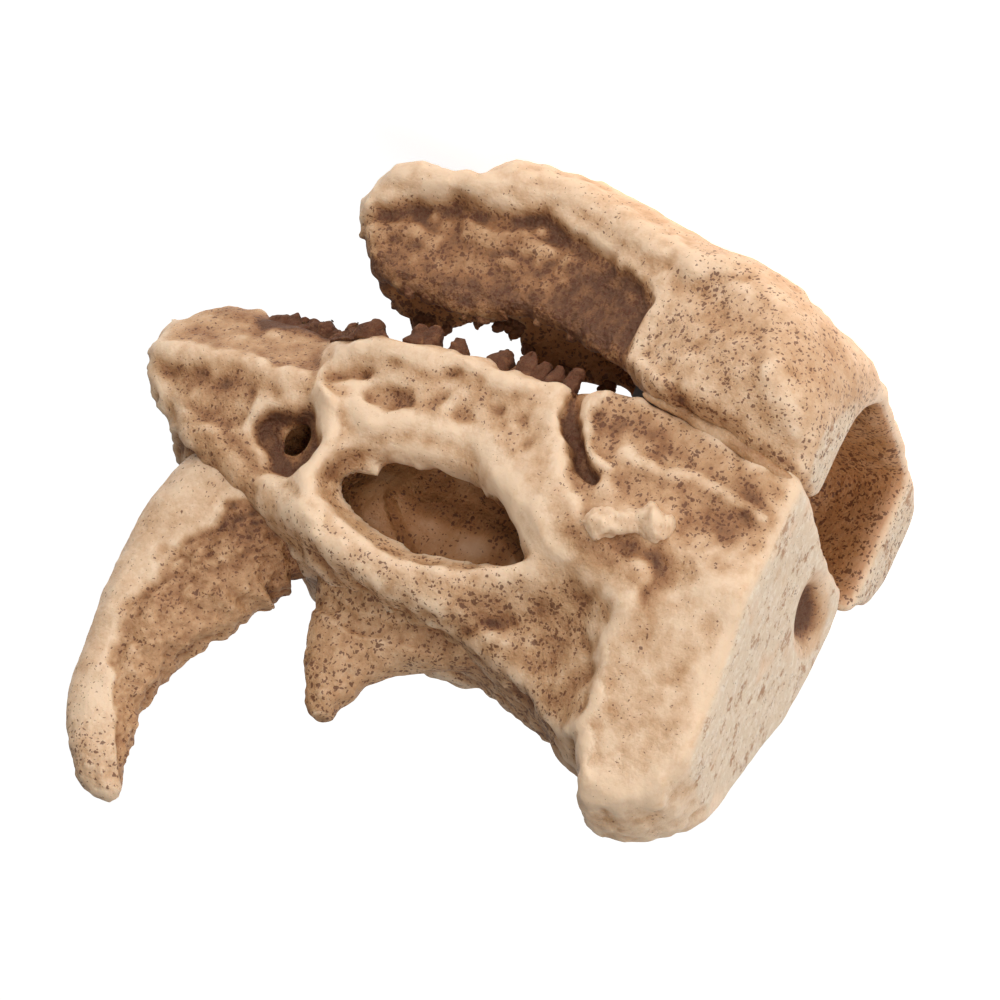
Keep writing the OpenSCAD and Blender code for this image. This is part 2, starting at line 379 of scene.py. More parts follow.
def mixColour(board, factor, a, b, blend="MIX"):
    # colour mix whose colour sockets are found by type
    made = board.node("ShaderNodeMix", data_type="RGBA", blend_type=blend)
    sockets = [s for s in made.inputs if s.type == "RGBA"]
    if isinstance(factor, (int, float)):
        made.inputs[0].default_value = factor
    else:
        board.link(factor, made.inputs[0])
    for socket, value in zip(sockets, (a, b)):
        if isinstance(value, (list, tuple)):
            socket.default_value = value
        else:
            board.link(value, socket)
    return [o for o in made.outputs if o.type == "RGBA"][0]


def newGroup(name, inputs, outputs):
    group = bpy.data.node_groups.new(name, "ShaderNodeTree")
    for label, kind, value in inputs:
        socket = group.interface.new_socket(name=label, in_out="INPUT", socket_type=kind)
        if value is not None:
            socket.default_value = value
    for label, kind in outputs:
        group.interface.new_socket(name=label, in_out="OUTPUT", socket_type=kind)
    board = Board(group)
    return group, board, board.node("NodeGroupInput"), board.node("NodeGroupOutput")


patterns = {
    # the border of the wash and the painted shade is broken up by two noises, each a scale and an
    # amount
    "washNoise": ((130.0, 4.0, 0.6, 0.55), (560.0, 6.0, 0.72, 0.75)),
    "washStops": ((0.0, "highlight"), (0.2, "cream"), (0.45, "tan"), (0.72, "brown"),
                  (1.0, "dark")),
    # fleck layers: scale, least size, growth with the amount, sharpness
    "fleckLayers": ((2100.0, 0.18, 0.52, 11.0), (1050.0, 0.06, 0.38, 20.0)),
    "fleckBend": 0.0011,
    "fleckPatches": 0.6,
    "fleckOdds": 1.3,
}


def makeWashAndShadeGroup():
    # wash 0 is bare cream resin, 1 is the darkest stain and the deepest painted shade; noise breaks
    # the border up
    group, board, source, target = newGroup(
        "boneWashAndShade",
        [("Vector", "NodeSocketVector", None), ("WashAndShade", "NodeSocketFloat", 0.3)],
        [("Color", "NodeSocketColor")])
    shifts = []
    for scale, detail, roughness, amount in patterns["washNoise"]:
        noise = board.noise(source.outputs["Vector"], scale, detail, roughness)
        shifts.append(board.math("MULTIPLY", board.math("SUBTRACT", noise, 0.5), amount))
    total = board.math("ADD", source.outputs["WashAndShade"], shifts[0])
    total = board.math("ADD", total, shifts[1], clamp=True)
    ramp = board.node("ShaderNodeValToRGB")
    stops = patterns["washStops"]
    while len(ramp.color_ramp.elements) < len(stops):
        ramp.color_ramp.elements.new(0.5)
    for element, (place, key) in zip(ramp.color_ramp.elements, stops):
        element.position = place
        element.color = boneTones[key]
    board.link(total, ramp.inputs[0])
    board.link(ramp.outputs[0], target.inputs["Color"])
    return group


def makeSpeckGroup():
    # dark flecks round scattered points, each its own size, more and larger where Amount is high
    group, board, source, target = newGroup(
        "darkFlecks",
        [("Vector", "NodeSocketVector", None), ("Amount", "NodeSocketFloat", 0.4)],
        [("Mask", "NodeSocketFloat")])
    vector = source.outputs["Vector"]
    warp = board.node("ShaderNodeTexNoise")
    board.link(vector, warp.inputs["Vector"])
    warp.inputs["Scale"].default_value = 1400.0
    warp.inputs["Detail"].default_value = 2.0
    bend = board.node("ShaderNodeVectorMath", operation="SCALE")
    board.link(warp.outputs["Color"], bend.inputs[0])
    bend.inputs["Scale"].default_value = patterns["fleckBend"]
    bent = board.node("ShaderNodeVectorMath", operation="ADD")
    board.link(vector, bent.inputs[0])
    board.link(bend.outputs[0], bent.inputs[1])
    patches = board.math("SUBTRACT", board.noise(vector, 170.0, 4.0, 0.65), 0.5)
    patches = board.math("MULTIPLY", patches, patterns["fleckPatches"])
    layers = []
    for scale, least, growth, sharp in patterns["fleckLayers"]:
        distance, chance = board.cells(bent.outputs[0], scale)
        size = board.math("ADD", least, board.math("MULTIPLY", source.outputs["Amount"], growth))
        size = board.math("ADD", size, patches)
        size = board.math("MULTIPLY", size, board.math("POWER", chance, patterns["fleckOdds"]))
        depth = board.math("SUBTRACT", size, distance)
        layers.append(board.math("MULTIPLY", depth, sharp, clamp=True))
    board.link(board.math("MAXIMUM", *layers), target.inputs["Mask"])
    return group


def makeGrainGroup():
    # height of the cast surface: soft pores and fine tooth marks
    group, board, source, target = newGroup(
        "castGrain", [("Vector", "NodeSocketVector", None)], [("Height", "NodeSocketFloat")])
    vector = source.outputs["Vector"]
    soft = board.noise(vector, 420.0, 4.0, 0.6)
    fine = board.noise(vector, 1700.0, 3.0, 0.6)
    total = board.math("ADD", board.math("MULTIPLY", soft, 0.7), board.math("MULTIPLY", fine, 0.3))
    board.link(total, target.inputs["Height"])
    return group


washAndShadeGroup = makeWashAndShadeGroup()
speckGroup = makeSpeckGroup()
grainGroup = makeGrainGroup()


def placeGroup(board, group, vector):
    made = board.node("ShaderNodeGroup", node_tree=group)
    board.link(vector, made.inputs["Vector"])
    return made


def newMaterial(name):
    material = bpy.data.materials.new(name)
    material.use_nodes = True
    board = Board(material.node_tree)
    shader = material.node_tree.nodes["Principled BSDF"]
    place = board.node("ShaderNodeTexCoord").outputs["Object"]
    return material, board, shader, place


resin = {
    "roughness": 0.46,
    "washRoughness": 0.22,
    "groundRoughness": 0.15,
    "bump": 1.0,
    "bumpDepth": 0.0009,
    "bumpLeast": 0.25,
    "bumpWithWash": 1.5,
    # how much of the painted amber glow is mixed in
    "paintedGlowShare": 0.6,
    "groundShare": 0.85,
    "fleckStrength": 0.8,
    "glow": 0.18,
    "glowReach": 0.0016,
    "glowRadius": (1.0, 0.55, 0.28),
}


def groundColour(board, place):
    # ground faces show bare pale resin with stained low spots and light scuffs
    spots = board.between(board.noise(place, 300.0, 7.0, 0.78), 0.53, 0.60)
    spots = board.math("MULTIPLY", spots, 0.9)
    bare = mixColour(board, spots, boneTones["ground"], boneTones["brown"])
    scuffs = board.between(board.noise(place, 900.0, 4.0, 0.7), 0.48, 0.62)
    return mixColour(board, board.math("MULTIPLY", scuffs, 0.45), bare, boneTones["scratch"])


def resinFinish(name, washShift=0.0, fleckShift=0.0, roughness=resin["roughness"], deepen=0.0):
    # cast bone resin: wash with painted shade, flecks, painted amber glow and ground patches from
    # the piece's painted attributes
    material, board, shader, place = newMaterial(name)
    washAndShade, fleck, ground, paintedGlow = (
        board.node("ShaderNodeAttribute", attribute_name=key).outputs["Fac"]
        for key in ("washAndShade", "fleck", "ground", "paintedGlow"))
    washAndShadeNode = placeGroup(board, washAndShadeGroup, place)
    board.link(board.math("ADD", washAndShade, washShift), washAndShadeNode.inputs["WashAndShade"])
    # painted amber glow, light shining through the resin, laid over the colour
    paintedGlowShare = board.math("MULTIPLY", paintedGlow, resin["paintedGlowShare"])
    colour = mixColour(board, paintedGlowShare, washAndShadeNode.outputs["Color"], boneTones["amberGlow"])
    share = board.math("MULTIPLY", ground, resin["groundShare"])
    colour = mixColour(board, share, colour, groundColour(board, place))
    speckNode = placeGroup(board, speckGroup, place)
    board.link(board.math("ADD", fleck, fleckShift), speckNode.inputs["Amount"])
    specks = board.math("MULTIPLY", speckNode.outputs["Mask"], resin["fleckStrength"])
    colour = mixColour(board, specks, colour, boneTones["speck"])
    if deepen:
        colour = mixColour(board, deepen, colour, boneTones["speck"])
    board.link(colour, shader.inputs["Base Color"])
    rough = board.math("ADD", board.math("MULTIPLY", washAndShade, resin["washRoughness"]), roughness)
    matt = board.math("MULTIPLY", ground, resin["groundRoughness"])
    board.link(board.math("ADD", rough, matt, clamp=True), shader.inputs["Roughness"])
    grainNode = placeGroup(board, grainGroup, place)
    rugged = board.math("MULTIPLY", washAndShade, resin["bumpWithWash"])
    rugged = board.math("ADD", rugged, resin["bumpLeast"])
    bump = board.node("ShaderNodeBump")
    bump.inputs["Strength"].default_value = resin["bump"]
    bump.inputs["Distance"].default_value = resin["bumpDepth"]
    board.link(board.math("MULTIPLY", grainNode.outputs["Height"], rugged), bump.inputs["Height"])
    board.link(bump.outputs["Normal"], shader.inputs["Normal"])
    shader.inputs["Subsurface Weight"].default_value = resin["glow"]
    shader.inputs["Subsurface Radius"].default_value = resin["glowRadius"]
    shader.inputs["Subsurface Scale"].default_value = resin["glowReach"]
    shader.inputs["IOR"].default_value = 1.5
    return material


boneFinish = resinFinish("boneResin")
hornFinish = resinFinish("hornResin")
toothFinish = resinFinish("toothCrust", washShift=0.2, fleckShift=0.1, roughness=0.6, deepen=0.4)
bondFinish = resinFinish("bondResin", roughness=0.3)


def gridStepOf(piece):
    return piece["step"]


skull = {
    "outline": [(-6, 0), (6, -3), (12, -5), (18, -6), (25, -6.6), (36, -5.6), (48, -5.6),
                (59, -5.2), (66, -5), (74, -7), (80, -7.5), (87, -6), (90.5, -2), (90.5, 2),
                (88, 7), (85, 10.5), (80, 14.5), (70, 18.5), (58, 23.5), (44, 26.6), (34, 28),
                (26, 31), (19, 35.5), (15.5, 37), (14, 39.4), (12.6, 42.8), (9, 43.4), (5, 41.8),
                (2, 39), (0, 36.4), (-6, 31)],
    "plan": [(-8, 18.5), (0, 19), (8, 20.5), (20, 21), (28, 18.5), (40, 15.5), (56, 13.5),
             (70, 11), (80, 8.5), (88, 6), (92, 4)],
    "rear": [(-9, 18), (-2, 20), (8, 21), (14, 18.5), (20, 15.5), (30, 11), (40, 7), (46, 4.5)],
    "lean": 0.14,
    "step": 0.535,
    "warp": 0.9,
    "edgeRound": 1.9,
    "backRound": 2.2,
    "socketDeep": 6.5,
    "socketLip": 1.6,
    "socket": [(60, 12), (59.5, 15.5), (57, 18.5), (52, 21), (45, 22.6), (38, 21.8), (32, 20),
               (28.6, 18), (30, 15.6), (34, 12.5), (38, 9.6), (43, 8), (51, 8.4), (57, 9.2)],
    "socketHole": [(53.5, 9.8), (52, 13), (47.5, 16.6), (41, 18.8), (34, 18.6), (30.5, 17.4),
                   (34, 13.2), (38, 10.3), (43, 8.7), (49, 9)],
    "nostril": [(71, 10), (68.5, 7.2), (65, 6.8), (62.6, 9.5), (62, 14), (64, 15.4), (68, 13.5)],
    "nostrilDeep": 2.8,
    "nostrilHole": (65.6, 9.6, 1.5),
    "vent": (24, 4.6, 7.5, 3.0),  # middle along x, half length, half width, top
    "backPit": ((0, 8.0, 3.8), (3.2, 5.0, 3.4)),
    "backPitSoft": 2.0,
    "hollow": [(14, 2), (30, 0), (56, -0.5), (70, 0), (80, 0), (83, 3), (77, 9), (58, 18),
               (44, 21.5), (32, 23.5), (22, 27), (14, 28)],
    "wall": 4.2,
    "dishWall": 2.4,
    "septum": 1.0,
    "septumHole": (31, 15.5, 3.6),
    # the patch of painted amber glow deep in the eye socket: middle along x and along z, half
    # length, half height
    "amberGlow": (44.5, 13.0, 7.5, 2.6),
    # brown wash amounts, except that those for the inside walls and the deep eye socket are painted
    # shade, and the negative amber one lifts a patch of painted glow
    "washAndShade": {"base": 0.31, "hollows": 0.85, "broad": 0.40, "blotches": 0.10, "inside": 0.34,
             "orbitShade": 0.34, "orbitFloorShade": 0.26, "orbitShadeBlotches": 0.16, "amberGlow": -0.5,
             "nostril": 0.55, "snoutTop": 0.24, "socketRim": 0.7, "brow": 0.08, "strut": 0.26,
             "dish": 0.12, "plate": 0.19, "plateBlotches": 0.12, "slot": 0.34, "snoutRoof": 0.10,
             "snout": 0.14, "snoutFlat": 0.12, "gumFront": 0.6, "gum": 0.34, "beakBlotches": 0.22,
             "bar": -0.12, "backBand": -0.12},
    "fleck": {"base": 0.05, "washAndShade": 1.0, "plate": 0.25, "brow": 0.45, "bar": -0.3, "ground": -0.15},
    "marks": {
        "dish": ("area", -2.3, 4.5, [(36, 25), (27, 21), (19, 21), (16.4, 24), (16.4, 31),
                                     (19, 40), (30, 38), (38, 31)]),
        "crestEdge": ("ridge", 0.9, 1.6, [(18.5, 21.5), (16, 25), (15.6, 29), (14, 32), (14.6, 36),
                                          (11.5, 42)]),
        "cheekBone": ("area", 1.2, 1.8, [(64, 5), (57, 7.2), (52, 6.5), (47, 6.8), (43, 6.5),
                                         (38, 8.8), (35, 11.2), (30, 13.6), (26, 16.8), (19, 19.4),
                                         (14, 20.6), (12.6, 14.4), (19, 13.6), (24.4, 11),
                                         (28, 7.4), (30.4, 2.4), (31.6, -7), (46, -8), (60, -8),
                                         (67, -4)]),
        "lowerBar": ("ridge", 0.3, 3.0, [(62, 7.2), (57, 6.2), (52, 5.2), (47, 5.4), (43, 5.2),
                                         (38.5, 7), (35.5, 9.8), (31, 12.2), (28.5, 15),
                                         (24, 16.8), (19, 18.4), (14, 20)]),
        "browBar": ("ridge", 0.25, 3.2, [(60, 19), (53, 23.5), (44, 25.2), (35, 24.2),
                                         (29, 21.5)]),
        "dorsalBar": ("ridge", 0.8, 2.2, [(80, 13.6), (76, 13.5), (71, 16), (64, 18.6), (58, 22),
                                          (53, 24.2)]),
        "foreBar": ("ridge", 0.9, 1.9, [(64, 4.5), (61.3, 8), (60.8, 12), (60.6, 16), (57, 21)]),
        "snoutRidge": ("ridge", 0.6, 1.9, [(89, 3.5), (83, 3), (77, 2.3), (71, 3), (66, 4.3),
                                           (62, 6)]),
        "jawEdge": ("ridge", 0.8, 1.7, [(64, -2.4), (58, -3.6), (52, -3.2), (46, -4.2),
                                        (38, -3.6)]),
        "snoutFlat": ("area", -0.8, 1.4, [(87, 5), (80, 5), (73, 5.2), (73, 10), (77, 11.5),
                                          (83, 9.5)]),
        "forePit": ("spot", -1.5, 2.4, [(63.2, 1.6), (61, 0.8), (59.2, 0.4)]),
        "midPit": ("area", -1.3, 1.2, [(58, 4.2), (57, 1.4), (52.5, 1.0), (51, 2.6), (54, 4)]),
        "cheekPits": ("spot", -0.7, 1.7, [(48, 1), (44.6, 2.4), (40.5, 0.6), (37, 1.6), (35, 4),
                                          (48, -2)]),
        "slot": ("ridge", -2.6, 1.45, [(31.4, -7), (31.6, -3), (30.6, 0.5), (28, 3.6),
                                       (25.4, 6.4)]),
        "plateEdge": ("ridge", 0.7, 1.2, [(28.6, -5), (28.8, -1.5), (27, 2), (23, 4.6)]),
        "plate": ("area", -0.7, 2.6, [(26, -3), (24, -6), (14, -5), (5, 0), (4, 8), (11, 11),
                                      (20, 8), (24, 4)]),
        "plateDip": ("area", -0.2, 2.6, [(13, 9), (10.5, 5), (5, 5), (3, 9), (7, 12)]),
        "rib": ("ridge", 0.6, 1.2, [(22, 1.5), (15, 2.5), (8, 2), (3, 4)]),
        "back": ("area", 0.8, 3.0, [(15, 21), (8, 16), (1, 13), (-3, 20), (-3, 42), (9, 44),
                                    (12, 38), (14, 30)]),
        "crease": ("ridge", -0.7, 1.3, [(47, 31), (42, 28.4), (36, 27), (29, 24)]),
        "studs": ("spot", 0.55, 1.1, [(36, 25.2), (34.4, 25.9), (32.8, 26.4), (31.2, 26.9),
                                      (29.6, 27.1)]),
    },
}


def mark(key):
    return skull["marks"][key][3]


def halfWidth(piece, x, z, blend):
    # the least of the plan at x and the rear view at z, the corner between them rounded
    plan = np.interp(x, *smoothLine(piece["plan"]).T)
    rear = np.interp(z, *smoothLine(piece["rear"]).T)
    return -roundMax(-plan, -rear, blend)


def innerWidth(piece, x, z):
    # half width of a hollow: the unsmoothed plan and rear view, less the wall
    plan = np.interp(x, *np.array(piece["plan"]).T)
    rear = np.interp(z, *np.array(piece["rear"]).T)
    return np.minimum(plan, rear) - piece["wall"]


def skullWidth(x, z):
    # half width = plan and rear view, bevelled under the snout, less the eye socket's funnel and
    # the nostril, plus relief, whose marks are pushed about by noise so that no edge runs true
    wx, wz = warped(x, z, skull["warp"], 3.0)
    width = halfWidth(skull, x, z, 2.5)
    plan = np.interp(x, *smoothLine(skull["plan"]).T)
    bevel = plan + 0.2 - 0.62 * np.maximum(2.5 - z, 0) - 0.35 * np.maximum(z - 8, 0)
    width = width + softStep(60, 70, x) * (np.minimum(width, bevel) - width)
    funnel = loopDistance((x + wx) / 2, (z + wz) / 2, skull["socket"])
    width = width - skull["socketDeep"] * softStep(0.2, -7.5, funnel)
    width = width - skull["socketLip"] * softStep(0.3, -1.1, funnel)
    pit = areaMask(wx, wz, smoothLine(skull["nostril"], 4, True), 2.0)
    return width - skull["nostrilDeep"] * pit + reliefOf(wx, wz, skull["marks"].values())


def painted(amounts, masks):
    # the base amount plus every mask times its own amount
    return amounts["base"] + sum(amounts[key] * mask for key, mask in masks.items())


def gridOf(low, high, step):
    axes = [np.arange(a, b, step, dtype=np.float32) for a, b in zip(low, high)]
    return np.ix_(*axes)


def roughOutline(x, y, z, shift):
    # chipped edge: lattice noise in side view in three sizes, drifting slowly across the piece
    return (0.5 * grain(x, y * 0.5, z, 3.4, shift) + 0.42 * grain(x, y * 0.7, z, 1.7, shift + 1)
            + 0.25 * grain(x, y * 0.8, z, 0.9, shift + 2))


def slopeOf(width, step):
    # the sideways distance shrinks by this where the side face leans
    slope = np.gradient(width[:, 0, :], step)
    return np.sqrt(1 + 0.6 * np.minimum(slope[0] ** 2 + slope[1] ** 2, 9))[:, None, :]


def castSurface(shell, low, step):
    # the mesh of a casting, its back kept flat, and how hollow each point lies, finely and broadly
    verts, quads, tris = surfaceOf(shell, low, step)
    edges = edgesOf(quads, tris)
    verts = relaxed(verts, edges, 1, 0.6)
    verts[:, 0] = np.maximum(verts[:, 0], 0.0)
    near = hollowness(verts, quads, tris, edges, 8)
    wide = hollowness(verts, quads, tris, edges, 60)
    return verts, (quads, tris), near, wide


def wallMask(hollow, body, verts, low, step):
    # 1 on the walls of a hollow, away from the outside
    onWall = softStep(1.3, 0.5, np.abs(fieldAt(hollow, verts, low, step)))
    return onWall * softStep(0.4, 1.4, -fieldAt(body, verts, low, step))


def skullHollow(x, y, z, off):
    # the inside of the skull, which leans with the crest and keeps clear of the dish in the roof,
    # split down the middle by a thin wavy web with a ragged hole in it
    px, pz = np.broadcast_arrays(x[:, 0, :], z[0])
    side = loopDistance(px, pz, skull["hollow"])[:, None, :]
    inner = innerWidth(skull, x, z) - skull["dishWall"] * softStep(18, 23, z)
    hollow = roundMax(side, off - inner, 2.5) + 0.35 * grain(x, y, z, 3.5, 12.0)
    hx, hz, hr = skull["septumHole"]
    webHole = np.hypot(x - hx, z - hz) - hr + 0.9 * grain(x, y, z, 2.4, 4.0)
    wave = 1.6 * grain(x, 0, z, 7.0, 14.0) + 0.5 * grain(x, 0, z, 2.6, 15.0)
    web = np.maximum(np.abs(y - wave) - skull["septum"], -webHole)
    return np.maximum(hollow, -web)


def skullHoles(shell, x, y, z):
    # eye sockets and nostrils through the side walls, the vent to the jaw, the pit in the back
    px, pz = np.broadcast_arrays(x[:, 0, :], z[0])
    hole = loopDistance(px, pz, skull["socketHole"])[:, None, :]
    hole = hole + 0.6 * grain(x, y, z, 2.6, 6.0) + 0.4 * grain(x, y, z, 1.2, 7.0)
    shell = roundMax(shell, -np.maximum(hole, 4.0 - np.abs(y)), 0.7)
    nx, nz, nr = skull["nostrilHole"]
    nose = np.maximum(np.hypot(x - nx, (z - nz) * 0.7) - nr, 3.0 - np.abs(y))
    shell = roundMax(shell, -nose, 0.5)
    middle, halfLong, halfWide, top = skull["vent"]
    vent = np.maximum(np.maximum(np.abs(x - middle) - halfLong, np.abs(y) - halfWide), z - top)
    shell = np.maximum(shell, -vent)
    parts = [((value - m) / r) ** 2 for value, m, r in zip((x, y, z), *skull["backPit"])]
    pit = np.sqrt(parts[0] + parts[1] + parts[2]) - 1
    return np.maximum(shell, -pit * skull["backPitSoft"])


def skullPaint(verts, near, wide, inside):
    # how dark each point is with wash and painted shade, how flecked it is, how much painted amber
    # glow it has, and where it is ground bare
    vx, vy, vz = verts.T
    depth = skullWidth(vx, vz) - np.abs(vy)
    funnel = softStep(0.5, -0.8, loopDistance(vx, vz, skull["socket"]))
    # deep in the eye socket, more than about 6 mm under the outside: it takes painted shade and
    # painted amber glow
    deepOrbit = funnel * softStep(5.5, 7.5, depth)
    stain = lumps(vx, vy, vz, 6.0, 3, 33.0)
    patchy = stain + 0.6 * grain(vx, vy, vz, 2.2, 35.0) + 0.5
    ground = softStep(0.35, 0.1, vx) * softStep(-0.9, 0.1, patchy)
    # a lighter patch of painted amber glow deep in the eye socket
    amberX, amberZ, amberLong, amberHigh = skull["amberGlow"]
    amberGlow = softStep(1.1, 0.5, np.hypot((vx - amberX) / amberLong, (vz - amberZ) / amberHigh))
    rim = softStep(0.9, 0.3, np.abs(loopDistance(vx, vz, skull["socketHole"])))
    brow = softStep(17.5, 21, vz) * softStep(17, 22, vx) * softStep(66, 60, vx)
    strut = softStep(8, 13, vx) * softStep(28, 21, vx) * softStep(9, 13, vz) * softStep(23, 18, vz)
    plate = softStep(30, 27, vx) * softStep(11, 7, vz) * softStep(0.5, 2, vx)
    bar = ridgeMask(vx, vz, mark("lowerBar"), 2.6) * softStep(2.5, 1.0, depth)
    masks = {
        "hollows": near,
        "broad": wide,
        "blotches": stain,
        # painted shade on the inner walls and deep in the eye socket, where light hardly falls
        "inside": inside * (1 - ground) * (1 - funnel),
        "orbitShade": deepOrbit,
        "orbitFloorShade": deepOrbit * softStep(11.5, 9.5, vz),
        "orbitShadeBlotches": deepOrbit * stain,
        # painted glow: the lighter amber patch
        "amberGlow": amberGlow * softStep(5.0, 8.0, depth) * (1 - ground),
        "nostril": areaMask(vx, vz, smoothLine(skull["nostril"], 4, True), 1.6),
        "snoutTop": softStep(10.5, 13, vz) * softStep(66, 70, vx) * softStep(84, 78, vx),
        "socketRim": rim * softStep(9, 11.5, vz) * softStep(0.8, 2, depth),
        "brow": brow,
        "strut": strut * (1 - ground),
        "dish": areaMask(vx, vz, mark("dish"), 6.0),
        "plate": plate,
        "plateBlotches": plate * softStep(0, 0.5, stain),
        "slot": ridgeMask(vx, vz, mark("slot"), 2.6),
        "snoutRoof": softStep(15, 19, vz) * softStep(62, 68, vx),
        "snout": softStep(62, 70, vx),
        "snoutFlat": areaMask(vx, vz, mark("snoutFlat"), 4.0),
        "gumFront": softStep(-3.2, -5.6, vz) * softStep(54, 60, vx) * softStep(80, 76, vx),
        "gum": softStep(-3.5, -6.0, vz) * softStep(30, 34, vx),
        "beakBlotches": softStep(83, 88, vx) * softStep(0.1, 0.5, stain),
        "bar": bar,
        "backBand": softStep(15, 11, vx) * softStep(12, 18, vz) * (1 - ground),
    }
    washAndShade = painted(skull["washAndShade"], masks)
    fleckMasks = {"washAndShade": washAndShade, "plate": plate, "brow": brow, "bar": bar, "ground": ground}
    fleck = painted(skull["fleck"], fleckMasks)
    # painted amber glow on the inner walls and deep in the eye socket
    paintedGlow = np.maximum(inside, deepOrbit) * (1 - ground)
    return {"washAndShade": washAndShade, "fleck": fleck, "ground": ground, "paintedGlow": paintedGlow}


def makeSkullShell():
    print("skull shell")
    step = gridStepOf(skull)
    low = (-1.5, -24.5, -11.0)
    x, y, z = gridOf(low, (93.5, 24.5, 47.5), step)
    px, pz = np.broadcast_arrays(x[:, 0, :], z[0])
    width = skullWidth(px, pz)[:, None, :]
    side = loopDistance(px, pz, skull["outline"], 5)[:, None, :]
    rough = roughOutline(x, y, z, 1.0) * (1 + 0.9 * softStep(74, 84, x))
    # the crest leans a little to the right
    off = np.abs(y + skull["lean"] * np.maximum(z - 5, 0) * softStep(26, 14, x))
    body = roundMax(side + rough, (off - width) / slopeOf(width, step), skull["edgeRound"])
    body = body + 0.4 * lumps(x, y, z, 6.0, 3, 5.0) + 0.24 * lumps(x, y, z, 1.9, 2, 9.0)
    hollow = skullHollow(x, y, z, off)
    shell = skullHoles(np.maximum(body, -hollow), x, y, z)
    shell = roundMax(shell, -x, skull["backRound"])
    verts, faces, near, wide = castSurface(shell, low, step)
    inside = wallMask(hollow, body, verts, low, step)
    return asMesh("skullShell", verts, faces, "castings", ["skull_shell"],
                  skullPaint(verts, near, wide, inside), boneFinish)


makeSkullShell()

jaw = {
    "outline": [(-6, 1), (0, -2.2), (6, -3.2), (12, -5.2), (18, -6.2), (23, -7.2), (27, -9.6),
                (33, -12), (39, -13.6), (46, -14.9), (51, -13), (57, -13.2), (62, -13.6),
                (66, -15), (69.5, -18.6), (72, -22.5), (71.4, -26.6), (67.5, -30), (61.5, -30.4),
                (57.6, -30.8), (54, -33.6), (48, -34.8), (41, -35.4), (34, -34), (26, -31.6),
                (17, -29.4), (9, -27.4), (0, -25), (-6, -23.5)],
    "plan": [(-6, 30), (0, 30), (8, 29), (20, 23.5), (30, 18.5), (45, 13), (60, 10), (69, 7),
             (73, 4)],
    "rear": [(-37, 9), (-33, 13), (-30, 17), (-24, 25.5), (-20, 29), (-12, 28.5), (-5, 23.6),
             (-1, 22.6), (4, 22)],
    "warp": 0.9,
    "skew": 4.0,
    "step": 0.46,
    "length": 72.0,
    "chamfer": (-0.662, -0.53, -0.53, 17.2),  # the plane's direction and its reach
    "chamferWall": 5.5,
    "farHeel": 2.4,
    "farTop": -13.0,
    "way": (7.35, 13.0),  # radius, and how far in from the back
    "saddle": (15, 2.0, 9.0, -6.4),  # middle along x, half thickness, half width, top
    "saddleBore": 6.05,
    "backDoor": (-8.5, 21.5),
    "edgeRound": 2.4,
    "backRound": 3.0,
    "cavity": [(-8, -20.5), (12, -21.5), (25, -27), (45, -31), (60, -26), (65, -18), (66, 6),
               (-8, 6)],
    "wall": 4.8,
    "seam": [(27, -9.6), (23, -7.2), (12, -5.2), (0, -2.2)],
    "recessDeep": 2.3,
    # brown wash amounts, except that the inside walls get painted shade and the long recess is part
    # brown wash, part painted shade
    "washAndShade": {"base": 0.22, "hollows": 0.95, "broad": 0.30, "blotches": 0.07, "recess": 0.50,
             "recessTop": 0.20, "toothEdge": 0.26, "inside": 1.0, "rear": 0.14, "seam": 0.30},
    "fleck": {"base": 0.12, "washAndShade": 0.9, "rear": 0.30, "recess": 0.15, "inside": 0.4},
    "recess": [(69.6, -22), (65, -24.6), (61, -25.6), (58, -27), (53, -26.4), (49, -27.8),
               (46, -28), (42, -26), (38, -24.4), (32, -22.6), (28.6, -20), (28, -14), (29, -8),
               (40, -9), (52, -8), (64, -9), (72, -14)],
    "marks": {
        "midRidge": ("ridge", 0.6, 1.7, [(57, -23.6), (53, -22.6), (49, -23.4), (45, -22.4)]),
        "foreLedge": ("ridge", 0.5, 1.6, [(68, -20), (64, -21.4), (60, -21)]),
        "knots": ("spot", 0.8, 1.4, [(47, -25.4), (50, -20.6), (61, -24), (42, -23)]),
        "corner": ("ridge", 0.5, 2.2, [(27.2, -21), (26.8, -15), (26.4, -10), (23, -7)]),
        "plateDip": ("area", -1.0, 4.0, [(22, -20), (15, -16), (9, -18), (6, -24), (14, -26),
                                         (22, -26)]),
        "topRidge": ("ridge", 0.8, 2.6, [(68, -27.6), (62, -28.4), (57, -29), (50, -31),
                                         (44, -31.2), (38, -29.6), (31, -27), (24, -25),
                                         (19, -26)]),
        "heelRidge": ("ridge", 0.5, 2.6, [(16, -28), (10, -22), (8, -14), (4, -8)]),
    },
}


def jawMiddle(x):
    # the jaw is set askew: its middle runs from the left at the back to the right in front
    return jaw["skew"] * (1 - 2 * x / jaw["length"])


def farDrop(x, y):
    # the jaw's left side hangs lower along its tooth edge, and steps down again in front
    return 0.42 * np.maximum(y - 2, 0) + 4.5 * softStep(46, 52, x) * softStep(2, 6, y)


def jawWidth(x, z):
    # half width = plan and rear view, less the long recess, plus relief
    wx, wz = warped(x, z, jaw["warp"], 23.0)
    recess = areaMask(wx, wz, smoothLine(jaw["recess"], 4, True), 1.8)
    width = halfWidth(jaw, x, z, 3.0) - jaw["recessDeep"] * recess
    return width + reliefOf(wx, wz, jaw["marks"].values())


def floorHeight(x, z):
    # height above the floor that the ornament stands on, in mm
    return x * skullX[2] + z * skullX[0] + skullOrigin[2] * 1000


